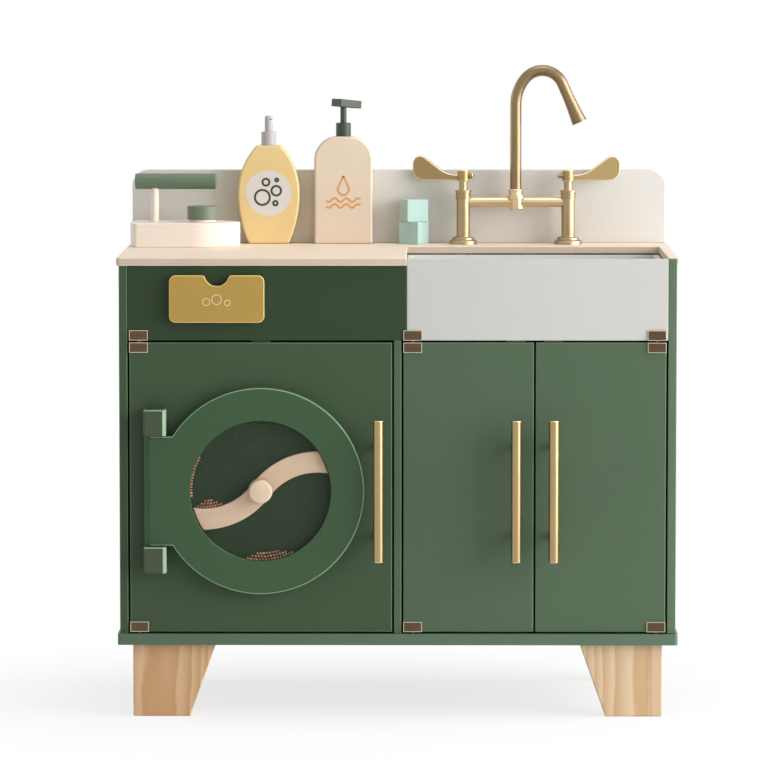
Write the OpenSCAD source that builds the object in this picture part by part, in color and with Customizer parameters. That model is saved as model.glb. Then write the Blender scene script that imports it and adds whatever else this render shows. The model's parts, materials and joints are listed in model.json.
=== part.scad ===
// Wooden toy laundry centre: a washing machine with a round paddle door, a sink with a swivel
// tap over a two-door cupboard, and the iron, bottles and soap cubes that stand on its worktop.
// Millimetres. +X right, -Y front, +Z up; the floor is z = 0, under the middle of the whole.

/* [Cabinet] */
// Overall width, across the base board
unit_w = 600; // [560:1:700]
// Depth of the base board, front edge to back
unit_d = 300; // [280:1:360]
// Thickness of the base board
base_t = 12; // [11:0.5:18]
// Thickness of side panels, doors, fascia and sink apron
panel_t = 9; // [8:0.5:12]
// Thickness of the upright between washer and cupboard
partition_t = 8; // [7:0.5:10]
// Thickness of the screwed-on back panel
back_t = 5; // [4:0.5:8]
// Thickness of the worktop
worktop_t = 8; // [6:0.5:14]
// How far base board and worktop reach past the side panels
side_over = 2.5; // [1:0.5:6]
// How far base board and worktop reach past the doors in front
front_over = 3; // [1:0.5:6]
// Corner radius of base board and worktop
board_r = 4; // [2:0.5:8]
// Height of the doors
door_h = 311; // [290:1:360]
// Corner radius of the doors
door_r = 2; // [1:0.5:6]
// Gap between a door and the boards beside it
door_gap = 2; // [1.8:0.1:3]
// Height of the washer's fascia
fascia_h = 80; // [76:1:100]

/* [Legs] */
// Height of the legs
leg_h = 78.5; // [50:0.5:120]
// Thickness of a leg, front to back
leg_t = 18; // [14:1:24]
// Width of a leg at the base board
leg_top_w = 89; // [70:1:120]
// Width of a leg at the floor
leg_foot_w = 61; // [40:1:68]
// From the end of the base board to a leg
leg_side_in = 16; // [6:1:30]
// From the front or back of the base board to a leg
leg_end_in = 10; // [4:1:30]

/* [Backsplash] */
// Height of the backsplash above the worktop
splash_h = 82; // [60:1:120]
// Thickness of the backsplash
splash_t = 9; // [6:0.5:12]
// Radius of its upper corners
splash_r = 18; // [6:1:30]
// Its ends short of the worktop's
splash_in = 1; // [0:0.5:6]

/* [Sink] */
// From the cabinet's middle to the sink, where fascia and full worktop end
split_in = 9.5; // [8:0.5:16]
// Depth of the worktop strip behind the sink
deck_d = 76; // [64:1:90]
// Thickness of the sink's inner walls
sink_wall_t = 6; // [4:0.5:9]
// Thickness of the board under the sink
sink_floor_t = 6; // [5:0.5:9]
// Apron's top edge below the worktop's surface
apron_drop = 1; // [0.5:0.25:3]
// Shadow gap between the worktop and the sink's inner walls
sink_gap = 1.5; // [0.5:0.25:3]

/* [Door hardware] */
// Diameter of a T-bar handle
handle_d = 11; // [8:0.5:12]
// Length of a T-bar handle
handle_len = 152; // [130:1:180]
// Distance between a handle's posts
handle_pitch = 96; // [64:32:96]
// Diameter of a handle's posts
post_d = 6.5; // [6:0.5:8]
// Handle axis in front of the door
handle_off = 23.5; // [20:0.5:30]
// Handle's middle above the door's lower edge
handle_up = 153.5; // [120:0.5:190]
// Washer handle's axis from the door's free edge
washer_handle_in = 14.5; // [12:0.5:16]
// Cupboard handles' axes from the doors' free edges
cupboard_handle_in = 19; // [10:0.5:40]
// Width of a hinge clip
clip_w = 20; // [18:1:24]
// How far a hinge clip reaches over the board
clip_h = 11; // [9:0.5:16]
// Thickness of a hinge clip's cheeks
clip_t = 1.5; // [1:0.1:1.6]
// Thickness of a hinge clip's web, let into the board's edge
clip_web = 1; // [0.8:0.1:1.5]
// Diameter of a door's pivot pin
pivot_d = 4; // [3:0.5:4.5]
// Length of pivot pin inside the board above or below
pivot_in = 7; // [5:0.5:8]
// Shank diameter of the wood screws
screw_d = 3.5; // [3:0.1:4]
// Diameter of a wood screw's flat head
screw_head_d = 7; // [6:0.5:8]
// Height of a wood screw's head
screw_head_h = 2; // [1.5:0.1:2.5]
// Screw in a handle's post
handle_bite = 10; // [6:0.5:14]
// Screw in a hinge block
block_bite = 14; // [8:0.5:16]
// Screw in a leg
leg_bite = 16; // [10:1:30]
// Back panel's screws in side panels and partition
back_bite = 18; // [10:1:30]

/* [Porthole] */
// Radius of the round door
ring_r = 110.5; // [104:0.5:116]
// Radius of its opening
opening_r = 75; // [66:0.5:80]
// Lip in front of the window
lip_t = 3; // [2:0.5:5]
// Thickness of the clear window
window_t = 2; // [1.5:0.5:3]
// Depth of the bead chamber
chamber_t = 7; // [6.5:0.5:10]
// Thickness of the chamber's back disc
disc_t = 3; // [2.5:0.5:5]
// Wall of the wooden chamber ring
chamber_wall = 5.5; // [5:0.5:9]
// Radius of the hole behind it in the washer door
load_hole_r = 80; // [66:0.5:84]
// Centre above the washer door's lower edge
porthole_up = 153; // [135:0.5:175]
// Height of the hinge tab
tab_h = 117; // [90:1:130]
// Hinge axis to the left of the centre
hinge_off = 117; // [113:0.2:120]
// Diameter of the hinge dowels
dowel_d = 8; // [6:0.5:8.5]
// Length of dowel inside the tab
dowel_in = 22; // [15:1:35]
// Width of a hinge block
block_w = 24; // [23:0.5:26]
// A hinge block's outer side from the hinge axis
block_side = 7.6; // [7:0.2:10.4]
// Depth of a hinge block
block_d = 22; // [19:0.5:26]
// Height of a hinge block
block_h = 28; // [20:1:32]

/* [Paddle] */
// Width of the paddle's arms
paddle_w = 22.5; // [16:0.5:28]
// Radius of the arc that an arm follows
paddle_arc_r = 76; // [70:1:84]
// Angle below the level at which an arm's arc has its centre
paddle_tilt = 36.6; // [0:0.2:60]
// Thickness of the paddle
paddle_t = 5; // [4:0.5:5.5]
// Gap between the paddle's tips and the chamber ring
paddle_gap = 2; // [1:0.5:4]
// Diameter of the paddle's shaft
shaft_d = 6; // [5:0.5:8]
// Diameter of the wooden knob
knob_d = 25; // [20:0.5:32]
// Length of the wooden knob
knob_len = 12; // [9:0.5:13]
// Diameter of a bead
bead_d = 3; // [2.5:0.1:3.2]

/* [Soap drawer] */
// Width of the drawer front
drawer_w = 101.5; // [90:0.5:110]
// Height of the drawer front
drawer_h = 50.5; // [46:0.5:54]
// Thickness of the drawer front
drawer_front_t = 8; // [6:0.5:12]
// Corner radius of the drawer front
drawer_r = 7; // [3:0.5:10]
// Drawer front from the fascia's left end
drawer_left = 45; // [30:1:80]
// Drawer front above the fascia's lower edge
drawer_up = 19.5; // [16:0.5:22]
// Radius of the round finger notch
notch_r = 13; // [10:0.5:18]
// Depth of the finger notch
notch_d = 11.5; // [8:0.5:14]
// Radius that rounds the notch's shoulders
notch_shoulder = 4; // [1:0.5:6]
// Depth of the tray, front to back
tray_d = 120; // [100:1:160]
// Tray narrower than the front, each side
tray_side_in = 5; // [4:0.5:8]
// Wall of the tray
tray_wall = 4; // [3:0.5:5]
// Height of the tray
tray_h = 34; // [28:0.5:36]
// Tray's middle below the front's
tray_low = 3; // [0:0.5:3]
// Size of the wooden drawer runners
runner_s = 8; // [6:0.5:10]

/* [Tap] */
// Distance between the tap's columns
tap_span = 117; // [100:1:130]
// Tap's middle from the sink's left end
tap_in = 121; // [110:1:140]
// Tap's axis in front of the backsplash
tap_back = 24; // [21:0.5:32]
// Diameter of a column
column_d = 15.8; // [12:0.1:16]
// Height of a column to the shoulder that its lever turns on
column_h = 70; // [64:1:84]
// Diameter of the flange at a column's foot
flange_d = 31; // [24:0.5:36]
// Diameter of the cross pipe
bridge_d = 11; // [8:0.1:12]
// Height of the cross pipe above the worktop
bridge_up = 47; // [42:1:48]
// Diameter of the spout's pipe
spout_d = 12.5; // [9:0.1:13]
// Top of the spout above the worktop
spout_h = 200; // [170:1:230]
// Radius of the spout's bend
bend_r = 27.5; // [22:0.5:35]
// Angle that the bend turns through
bend_a = 156; // [120:1:170]
// Length of the nozzle after the bend
nozzle_len = 45; // [30:1:60]
// Diameter of the nozzle's mouth
mouth_d = 17.5; // [13:0.5:20]
// Reach of a lever from its axis
lever_len = 59; // [50:0.5:66]
// Height of a lever's rounded end
lever_end_h = 27; // [24:0.5:32]
// Angle at which the left lever's tip stands back at rest
left_lever_back = 18; // [0:1:20]
// Angle at which the right lever's tip stands back at rest
right_lever_back = 8; // [0:1:20]
// Height of a lever's hub
lever_hub_h = 13; // [11:0.5:16]
// Thickness of a lever's blade
lever_t = 5; // [3:0.5:6]

/* [Iron] */
// Length of the iron's base
iron_len = 121.5; // [104:0.5:126]
// Width of the iron's base
iron_w = 74; // [60:1:80]
// Thickness of the iron's base
iron_t = 26.5; // [15:0.5:30]
// From the worktop's left end to the iron
iron_in = 2; // [1:0.5:8]
// Gap between the backsplash and the iron
iron_back = 19; // [5:1:20]
// Diameter of the handle bar
grip_d = 17.5; // [14:0.5:22]
// Length of the handle bar
grip_len = 90; // [70:1:100]
// Handle bar's end from the base's heel
grip_in = 5.5; // [0:0.5:12]
// Handle bar's axis above the worktop
grip_up = 71.5; // [62:0.5:85]
// Post's axis from the heel
iron_post_at = 27; // [18:0.5:30]
// Diameter of the post
iron_post_d = 9; // [8:0.5:12]
// Dial's axis from the heel
dial_at = 80; // [64:0.5:84]
// Diameter of the dial
dial_d = 33.5; // [24:0.5:38]
// Thickness of the dial
dial_t = 15; // [8:0.5:18]

/* [Bottles and soap] */
// Thickness of both bottles
bottle_t = 22; // [19:0.5:30]
// Height of the oval bottle
oval_h = 110; // [90:1:130]
// Greatest width of the oval bottle
oval_w = 69; // [55:1:71]
// Height of its widest point
oval_waist = 57; // [45:1:65]
// Its width at the foot
oval_foot_w = 44.5; // [38:0.5:50]
// Its width at the top
oval_top_w = 27; // [22:0.5:34]
// From the worktop's left end to the oval bottle's axis
oval_in = 154.5; // [150:0.5:162]
// Width of the square-shouldered bottle
square_w = 65; // [55:1:75]
// Its height
square_h = 120; // [100:1:140]
// Radius of its shoulders
square_r = 26; // [15:1:27]
// Gap between the two bottles
square_gap = 16.5; // [8:0.5:20]
// Diameter of the bottles' collars
collar_d = 16.7; // [14:0.1:20]
// Height of the bottles' collars
collar_h = 15; // [8:0.5:20]
// Edge of a soap cube
cube_s = 25; // [16:0.5:25.5]
// Centre of the soap cubes, right of the cabinet's middle
cube_right = 16.7; // [10:0.1:18]
// Gap between the backsplash and the bottles and cubes
shelf_back = 1; // [0.5:0.25:3]

/* [Hidden] */
$fn = 96;
run_fit = 0.05;     // radial clearance of a turning pin
fixed_fit = 0.02;   // radial clearance of a pin or screw that stays put
slide_fit = 0.5;    // clearance of a drawer or door piece that slides past a board
seat_fit = 0.3;     // clearance between curved or swinging faces

// Cabinet, left to right
side_out = unit_w/2 - side_over;
side_in = side_out - panel_t;
washer_x0 = -side_in + door_gap;
washer_x1 = -partition_t/2 - door_gap;
washer_mid = (washer_x0 + washer_x1)/2;
cupboard_x0 = partition_t/2 + door_gap;
cupboard_x1 = side_in - door_gap;
cupboard_mid = (cupboard_x0 + cupboard_x1)/2;

// Front to back; the handles stand in front of the doors and count in the depth
handle_reach = handle_off + handle_d/2;
front_y = handle_reach - (unit_d - front_over + handle_reach)/2;
back_y = front_y + unit_d - front_over;
inner_y = front_y + panel_t;
rear_y = back_y - back_t;
splash_y = back_y - splash_t;
deck_y = back_y - deck_d;

// Floor to top
base_top = leg_h + base_t;
door_z = base_top + door_gap;
door_top = door_z + door_h;
fascia_z = door_top + door_gap;
worktop_z = fascia_z + fascia_h;
deck_z = worktop_z + worktop_t;
apron_top = deck_z - apron_drop;

// Porthole and the wooden door that carries it
ring_t = lip_t + window_t + chamber_t + disc_t;
ring_back = front_y - 2*seat_fit;
ring_front = ring_back - ring_t;
window_y = ring_front + lip_t;
chamber_y = window_y + window_t;
disc_y = chamber_y + chamber_t;
chamber_r = opening_r + 1;
drum_r = chamber_r + chamber_wall;
hinge_x = washer_mid - hinge_off;
hinge_y = ring_front + ring_t/2;
porthole_z = door_z + porthole_up;
block_gap = 1;
arm_centre = paddle_arc_r*[cos(paddle_tilt), -sin(paddle_tilt)];
paddle_r = chamber_r - paddle_gap;

// Tap
tap_x = split_in + tap_in;
tap_y = splash_y - tap_back;
tap_hub_d = 18;
tap_hub_h = 23;
tap_hub_low = 8.5;      // hub's foot below the cross pipe's axis
tap_lip = 4;            // depth of socket under the spout, and height of the socket's rim
tap_neck_d = 9;
flange_h = [3, 8];      // tops of the two steps at a column's foot
flange_step = 3;
rim_h = 8;              // the thicker rim at a column's top
rim_step = 1.35;
lever_pivot_d = 7;
lever_roof = 3;         // metal of a lever's hub above its pivot
lever_hub_r = 6.5;
stub_d = 6;             // the short stub behind a lever's hub
stub_len = 12;
stub_hole_d = 3.4;      // blind hole in the stub's end
stub_hole_in = 5;
collar_top = column_h - 10;
stud_d = 7;
nut_h = 5;
stud_end = 3;           // stud below its nut

// Things on the worktop
bottle_y = splash_y - shelf_back - bottle_t/2;
iron_x0 = -unit_w/2 + iron_in;
oval_x = -unit_w/2 + oval_in;
square_x = oval_x + oval_w/2 + square_gap + square_w/2;
iron_y = splash_y - iron_back - iron_w/2;
cube_turn = [-29, 21];
cube_y = splash_y - shelf_back - cube_s/2*(cos(cube_turn[0]) - sin(cube_turn[0]));

door_green = [0.33, 0.42, 0.33];
board_green = [0.39, 0.52, 0.43];
pale_paint = [0.86, 0.84, 0.81];
mustard = [0.75, 0.62, 0.32];
cream = [0.94, 0.87, 0.79];
pine = [0.80, 0.66, 0.50];
gold = [0.80, 0.68, 0.47];
steel = [0.60, 0.58, 0.55];
mint = [0.66, 0.86, 0.82];

// ---- shared shapes ----

// A board standing across the front, its outline in (x, z)
module upright(y, t) translate([0, y + t, 0]) rotate([90, 0, 0]) linear_extrude(t) children();

// A board lying flat, its outline in (x, y)
module flat(z, t) translate([0, 0, z]) linear_extrude(t) children();

// A cylinder along +Y from y = 0
module rod(d, len) rotate([-90, 0, 0]) cylinder(d = d, h = len);

// A rectangle from (x0, y0) to (x1, y1) with round corners
module rounded(x0, y0, x1, y1, r) {
    translate([x0 + r, y0]) square([x1 - x0 - 2*r, y1 - y0]);
    translate([x0, y0 + r]) square([x1 - x0, y1 - y0 - 2*r]);
    for (x = [x0 + r, x1 - r], y = [y0 + r, y1 - r]) translate([x, y]) circle(r);
}

// Points along an arc about c
function arc(c, r, a0, a1, n) = [for (i = [0 : n]) c + r*[cos(a0 + (a1 - a0)*i/n), sin(a0 + (a1 - a0)*i/n)]];

// A flat-headed screw pointing down from z = 0; with a clearance it is the screw's own hole
module screw(len, fit = 0) {
    translate([0, 0, -screw_head_h]) cylinder(d = screw_head_d + 2*fit, h = screw_head_h + fit);
    translate([0, 0, -len - fit]) cylinder(d = screw_d + 2*fit, h = len + fit);
}

// ---- fixings ----

leg_screw_len = base_t + leg_bite;
leg_screw_at = [0.3, 0.7];
back_screw_len = back_t + back_bite;
back_screw_at = [0.12, 0.5, 0.88];

module leg_screws(fit = 0)
    for (side = [-1, 1], y = [leg_y(0), leg_y(1)], share = leg_screw_at)
        translate([side*(unit_w/2 - leg_side_in - leg_foot_w*share), y, base_top]) screw(leg_screw_len, fit);

module back_screws(fit = 0)
    for (x = [-side_out + panel_t/2, 0, side_out - panel_t/2], up = back_screw_at)
        translate([x, back_y, base_top + (worktop_z - base_top)*up])
            rotate([-90, 0, 0]) screw(back_screw_len, fit);

module cabinet_screws() color(steel) {
    leg_screws();
    back_screws();
}

// ---- cabinet ----

function leg_y(back) = back == 0
    ? front_y - front_over + leg_end_in + leg_t/2
    : back_y - leg_end_in - leg_t/2;

module base_board() color(board_green) difference() {
    flat(leg_h, base_t) rounded(-unit_w/2, front_y - front_over, unit_w/2, back_y, board_r);
    leg_screws(fixed_fit);
    door_pivots(-1, run_fit);
}

module side_panel(side) color(door_green) difference() {
    translate([side > 0 ? side_in : -side_out, front_y, base_top])
        cube([panel_t, rear_y - front_y, worktop_z - base_top]);
    back_screws(fixed_fit);
}
module left_side_panel() side_panel(-1);

// Its front corner rises past the worktop and closes the apron's end
module right_side_panel() {
    side_panel(1);
    color(door_green) translate([side_in, front_y, worktop_z - corner_lap])
        cube([panel_t, panel_t, apron_top - worktop_z + corner_lap]);
}
corner_lap = 1;

// The partition stops behind the fascia and reaches the doors' face below it
module centre_partition() color(door_green) difference() {
    translate([-partition_t/2, front_y, base_top])
        cube([partition_t, rear_y - front_y, worktop_z - base_top]);
    translate([-partition_t, front_y - 1, fascia_z]) cube([2*partition_t, panel_t + 1, fascia_h + 1]);
    back_screws(fixed_fit);
}

module back_panel() color(door_green) difference() {
    upright(rear_y, back_t) translate([-side_out, base_top]) square([2*side_out, worktop_z - base_top]);
    back_screws(fixed_fit);
}

// One board, cut away over the sink; a narrow strip of it covers the right side panel behind the apron
module worktop() color(cream) difference() {
    flat(worktop_z, worktop_t) rounded(-unit_w/2, front_y - front_over, unit_w/2, back_y, board_r);
    translate([split_in, front_y - front_over - 1, worktop_z - 1])
        cube([side_in - split_in, deck_y - front_y + front_over + 1, worktop_t + 2]);
    translate([split_in, front_y - front_over - 1, worktop_z - 1])
        cube([unit_w/2, front_over + 1 + panel_t, worktop_t + 2]);
    for (side = [-1, 1]) translate([tap_x + side*tap_span/2, tap_y, worktop_z - 1])
        cylinder(d = stud_d + 2*fixed_fit, h = worktop_t + 2);
}

module backsplash() color(pale_paint) upright(splash_y, splash_t) {
    x = unit_w/2 - splash_in;
    translate([-x, deck_z]) square([2*x, splash_h - splash_r]);
    translate([-x + splash_r, deck_z]) square([2*(x - splash_r), splash_h]);
    for (side = [-1, 1]) translate([side*(x - splash_r), deck_z + splash_h - splash_r]) circle(splash_r);
}

// The fascia has a cut-out for the soap drawer's tray
module washer_fascia() color(door_green) difference() {
    upright(front_y, panel_t) translate([-side_in, fascia_z]) square([side_in + split_in, fascia_h]);
    translate([tray_x0 - slide_fit, front_y - 1, tray_z - slide_fit])
        cube([tray_w + 2*slide_fit, panel_t + 2, tray_h + 2*slide_fit]);
    bracket_seats();
}

module sink_apron() color(pale_paint) difference() {
    upright(front_y, panel_t) translate([split_in, fascia_z])
        square([side_in - split_in, apron_top - fascia_z]);
    bracket_seats();
}

// The sink's floor board spans from the partition to the side panel and carries three walls
module sink_floor() color(pale_paint)
    translate([partition_t/2, inner_y, fascia_z])
        cube([side_in - partition_t/2, rear_y - inner_y, sink_floor_t]);

module sink_walls() color(pale_paint) {
    z = fascia_z + sink_floor_t;
    h = worktop_z - sink_gap - z;
    for (x = [split_in, side_in - sink_wall_t])
        translate([x, inner_y, z]) cube([sink_wall_t, deck_y - inner_y, h]);
    translate([split_in, deck_y, z]) cube([side_in - split_in, sink_wall_t, h]);
}

module leg(side, back) color(pine) difference() {
    x = side*(unit_w/2 - leg_side_in);
    upright(leg_y(back) - leg_t/2, leg_t)
        polygon([[x, 0], [x, leg_h], [x - side*leg_top_w, leg_h], [x - side*leg_foot_w, 0]]);
    leg_screws(fixed_fit);
}
module front_left_leg() leg(-1, 0);
module front_right_leg() leg(1, 0);
module back_left_leg() leg(-1, 1);
module back_right_leg() leg(1, 1);

// ---- door hinges: a pin at each corner, in a clip over the door's edge ----

pivot_y = front_y + panel_t/2;
pivot_x = [washer_x0 + clip_w/2, cupboard_x0 + clip_w/2, cupboard_x1 - clip_w/2];

// A clip over a board's upper edge, its web let into the edge
module edge_clip(h) translate([-clip_w/2, 0, 0]) difference() {
    translate([0, -panel_t/2 - clip_t, -h]) cube([clip_w, panel_t + 2*clip_t, h]);
    translate([-1, -panel_t/2, -h - 1]) cube([clip_w + 2, panel_t, h + 1 - clip_web]);
}
module clip_seat() translate([-clip_w/2, -panel_t/2 - clip_t - 1, -clip_web])
    cube([clip_w, panel_t + 2*clip_t + 2, clip_web + 1]);

// Pins from the doors' upper (1) or lower (-1) edges into the boards beyond
module door_pivots(end, fit = 0)
    for (x = pivot_x) door_pivot(x, end, fit);
module door_pivot(x, end, fit = 0) {
    len = door_gap + pivot_in + clip_web;
    translate([x, pivot_y, end > 0 ? door_top - clip_web : door_z + clip_web - len - fit])
        cylinder(d = pivot_d + 2*fit, h = len + fit);
}

module hinge_clips(i) color(steel) {
    translate([pivot_x[i], pivot_y, door_top]) edge_clip(clip_h);
    translate([pivot_x[i], pivot_y, door_z]) mirror([0, 0, 1]) edge_clip(clip_h);
    door_pivot(pivot_x[i], 1);
    door_pivot(pivot_x[i], -1);
}
module washer_hinge_clips() hinge_clips(0);
module left_door_hinge_clips() hinge_clips(1);
module right_door_hinge_clips() hinge_clips(2);

// Angle brackets over the lower edge of fascia and apron, without a rear cheek
module hinge_brackets() color(steel) difference() {
    for (x = pivot_x) translate([x, pivot_y, fascia_z]) mirror([0, 0, 1]) edge_clip(clip_h);
    translate([-side_in, inner_y, fascia_z - 1]) cube([2*side_in, clip_t + 1, clip_h + 2]);
    door_pivots(1, run_fit);
}
module bracket_seats() {
    for (x = pivot_x) translate([x, pivot_y, fascia_z]) mirror([0, 0, 1]) clip_seat();
    door_pivots(1, run_fit);
}

// A door panel with round corners; the web of each clip is let into its edges
module door_panel(i, x0, x1) difference() {
    upright(front_y, panel_t) rounded(x0, door_z, x1, door_top, door_r);
    translate([pivot_x[i], pivot_y, door_top]) clip_seat();
    translate([pivot_x[i], pivot_y, door_z]) mirror([0, 0, 1]) clip_seat();
}

catch_w = 20;
catch_d = 12;
catch_h = 14;
// Magnetic catches behind the fascia and the apron, one for each door's upper edge
module door_catches() color(cream) for (x = [washer_mid, cupboard_mid - catch_w, cupboard_mid + catch_w])
    difference() {
        translate([x - catch_w/2, inner_y, fascia_z - catch_h/2]) cube([catch_w, catch_d, catch_h]);
        translate([x - catch_w/2 - 1, inner_y - 1, fascia_z - catch_h/2 - 1])
            cube([catch_w + 2, 1 + slide_fit, catch_h/2 + 1]);
        if (x > split_in) translate([x - catch_w, inner_y - 1, fascia_z])
            cube([2*catch_w, catch_d + 2, catch_h]);
    }

// ---- handles and their screws ----

handle_x = [washer_x1 - washer_handle_in, cupboard_mid - door_gap/2 - cupboard_handle_in,
    cupboard_mid + door_gap/2 + cupboard_handle_in];
handle_z = door_z + handle_up;
handle_screw_len = panel_t + handle_bite;

module handle_screws(i, fit = 0) for (end = [-1, 1])
    translate([handle_x[i], inner_y, handle_z + end*handle_pitch/2])
        rotate([-90, 0, 0]) screw(handle_screw_len, fit);

module handle(i) color(gold) difference() {
    union() {
        translate([handle_x[i], front_y - handle_off, handle_z - handle_len/2])
            cylinder(d = handle_d, h = handle_len);
        for (end = [-1, 1]) translate([handle_x[i], front_y - handle_off, handle_z + end*handle_pitch/2])
            rod(post_d, handle_off);
    }
    handle_screws(i, fixed_fit);
}
module washer_handle() handle(0);
module left_door_handle() handle(1);
module right_door_handle() handle(2);

// ---- washer door ----

block_screw_len = panel_t + block_bite;
block_screw_gap = 0.65;
block_screw_off = dowel_d/2 + screw_d/2 + block_screw_gap;      // beside the dowel
block_screw_at = [-0.3, 0.3];       // share of a block's height
function block_z(end) = porthole_z + end*(tab_h/2 + block_gap + block_h/2);

module block_screws(fit = 0) for (end = [-1, 1], up = block_screw_at)
    translate([hinge_x + block_screw_off, inner_y, block_z(end) + up*block_h])
        rotate([-90, 0, 0]) screw(block_screw_len, fit);

module washer_door_panel() color(door_green) difference() {
    door_panel(0, washer_x0, washer_x1);
    translate([washer_mid, front_y - 1, porthole_z]) rod(2*load_hole_r, panel_t + 2);
    handle_screws(0, fixed_fit);
    block_screws(fixed_fit);
}

module washer_door_screws() color(steel) {
    handle_screws(0);
    block_screws();
}

module porthole_hinge_blocks() color(door_green) difference() {
    for (end = [-1, 1])
        translate([hinge_x - block_side, front_y - block_d, block_z(end) - block_h/2])
            cube([block_w, block_d, block_h]);
    hinge_dowels(fixed_fit);
    block_screws(fixed_fit);
}

// Dowels, each fixed in its block and turning in the tab
module hinge_dowels(fit = 0) for (end = [-1, 1]) mirror_z(porthole_z, end)
    translate([hinge_x, hinge_y, porthole_z + tab_h/2 - dowel_in - fit])
        cylinder(d = dowel_d + 2*fit, h = dowel_in + block_gap + block_h + 2*fit);
module mirror_z(z, end) if (end > 0) children(); else
    translate([0, 0, 2*z]) mirror([0, 0, 1]) children();
module porthole_hinge_pins() color(pine) hinge_dowels();

// ---- porthole ----

// Ring and hinge tab in one board; the tab's edge is rounded about the hinge axis
module porthole_ring() color(door_green) difference() {
    union() {
        upright(ring_front, ring_t) translate([washer_mid, porthole_z]) {
            circle(ring_r);
            translate([-hinge_off, -tab_h/2]) square([hinge_off, tab_h]);
        }
        translate([hinge_x, hinge_y, porthole_z - tab_h/2]) cylinder(d = ring_t, h = tab_h);
    }
    translate([washer_mid, ring_front - 1, porthole_z]) rod(2*opening_r, ring_t + 2);
    translate([washer_mid, window_y, porthole_z]) rod(2*(drum_r + fixed_fit), ring_t);
    hinge_dowels(run_fit);
}

module window_pane() color([0.9, 0.95, 0.95, 0.4]) difference() {
    translate([washer_mid, window_y, porthole_z]) rod(2*drum_r, window_t);
    translate([washer_mid, window_y - 1, porthole_z]) rod(shaft_d + 2*run_fit, window_t + 2);
}

chamber_screw_d = 2.5;
chamber_screw_head_d = 4.6;
chamber_screw_r = drum_r - chamber_wall/2;
module chamber_screw_set(fit = 0) for (a = [45 : 90 : 315])
    translate([washer_mid + chamber_screw_r*cos(a), ring_back, porthole_z + chamber_screw_r*sin(a)])
        rotate([90, 0, 0]) {
            translate([0, 0, -fit]) cylinder(d = chamber_screw_head_d + 2*fit, h = disc_t/2 + fit);
            cylinder(d = chamber_screw_d + 2*fit, h = disc_t + chamber_t - 2);
        }

module chamber_ring() color(cream) difference() {
    translate([washer_mid, chamber_y, porthole_z]) rod(2*drum_r, chamber_t);
    translate([washer_mid, chamber_y - 1, porthole_z]) rod(2*chamber_r, chamber_t + 2);
    chamber_screw_set(fixed_fit);
}

module chamber_back() color(board_green) difference() {
    translate([washer_mid, disc_y, porthole_z]) rod(2*drum_r, disc_t);
    translate([washer_mid, disc_y - 1, porthole_z]) rod(shaft_d + 2*run_fit, disc_t + 2);
    chamber_screw_set(fixed_fit);
}
module chamber_screws() color(steel) chamber_screw_set();

// ---- paddle, its shaft and knob, and the beads that it stirs ----

paddle_y = chamber_y + (chamber_t - paddle_t)/2;
knob_y = window_y - seat_fit - knob_len;
hub_r = 13;
arm_sector = [60, 146];  // angles about its arc's centre between which an arm is kept
knob_skin = knob_len/3; // wood of the knob in front of the shaft

module paddle_arm() intersection() {
    circle(paddle_r);
    translate(arm_centre) difference() {
        circle(paddle_arc_r + paddle_w/2);
        circle(paddle_arc_r - paddle_w/2);
    }
    translate(arm_centre)
        polygon(concat([[0, 0]], arc([0, 0], 3*paddle_arc_r, arm_sector[0], arm_sector[1], 8)));
}

module wash_paddle() color(cream) difference() {
    upright(paddle_y, paddle_t) translate([washer_mid, porthole_z]) {
        circle(hub_r);
        for (turn = [0, 180]) rotate(turn) paddle_arm();
    }
    translate([washer_mid, paddle_y - 1, porthole_z]) rod(shaft_d + 2*fixed_fit, paddle_t + 2);
}

module paddle_shaft() color(pine)
    translate([washer_mid, knob_y + knob_skin, porthole_z])
        rod(shaft_d, ring_back - knob_y - knob_skin - fixed_fit);

module paddle_knob() color(cream) difference() {
    translate([washer_mid, knob_y, porthole_z]) rod(knob_d, knob_len);
    translate([washer_mid, knob_y + knob_skin, porthole_z]) rod(shaft_d + 2*fixed_fit, knob_len);
}

bead_gap = 0.25;
bead_play = 0.4;        // from a bead to the wall or arm that it lies on
bead_step = bead_d + bead_gap;
bead_y = chamber_y + chamber_t/2;
bead_wall_r = chamber_r - bead_d/2 - bead_play;
bead_shelf_r = paddle_arc_r - paddle_w/2 - bead_d/2 - bead_play;

wall_from = 152;        // angle at which the row against the left wall starts
heap_from = 259;        // and the heap at the bottom
arm_from = 264;         // and the beads on the lower arm

// Beads in a row along an arc about c, from angle a, n of them
module bead_row(c, r, a, n) for (i = [0 : n - 1]) {
    b = a + i*bead_step/r*180/PI;
    translate([washer_mid + c[0] + r*cos(b), bead_y, porthole_z + c[1] + r*sin(b)])
        sphere(d = bead_d, $fn = 24);
}

module wash_beads() color([0.62, 0.38, 0.24]) {
    bead_row([0, 0], bead_wall_r, wall_from, 14);
    for (layer = [0 : 2])
        bead_row([0, 0], bead_wall_r - layer*bead_step, heap_from + layer*4, 16 - 4*layer);
    for (layer = [0 : 2])
        bead_row(-arm_centre, bead_shelf_r - layer*bead_step, arm_from + layer*4, 9 - 3*layer);
}

// ---- soap drawer ----

drawer_x0 = -side_in + drawer_left;
drawer_z0 = fascia_z + drawer_up;
tray_x0 = drawer_x0 + tray_side_in;
tray_w = drawer_w - 2*tray_side_in;
tray_z = drawer_z0 + (drawer_h - tray_h)/2 - tray_low;

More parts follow.
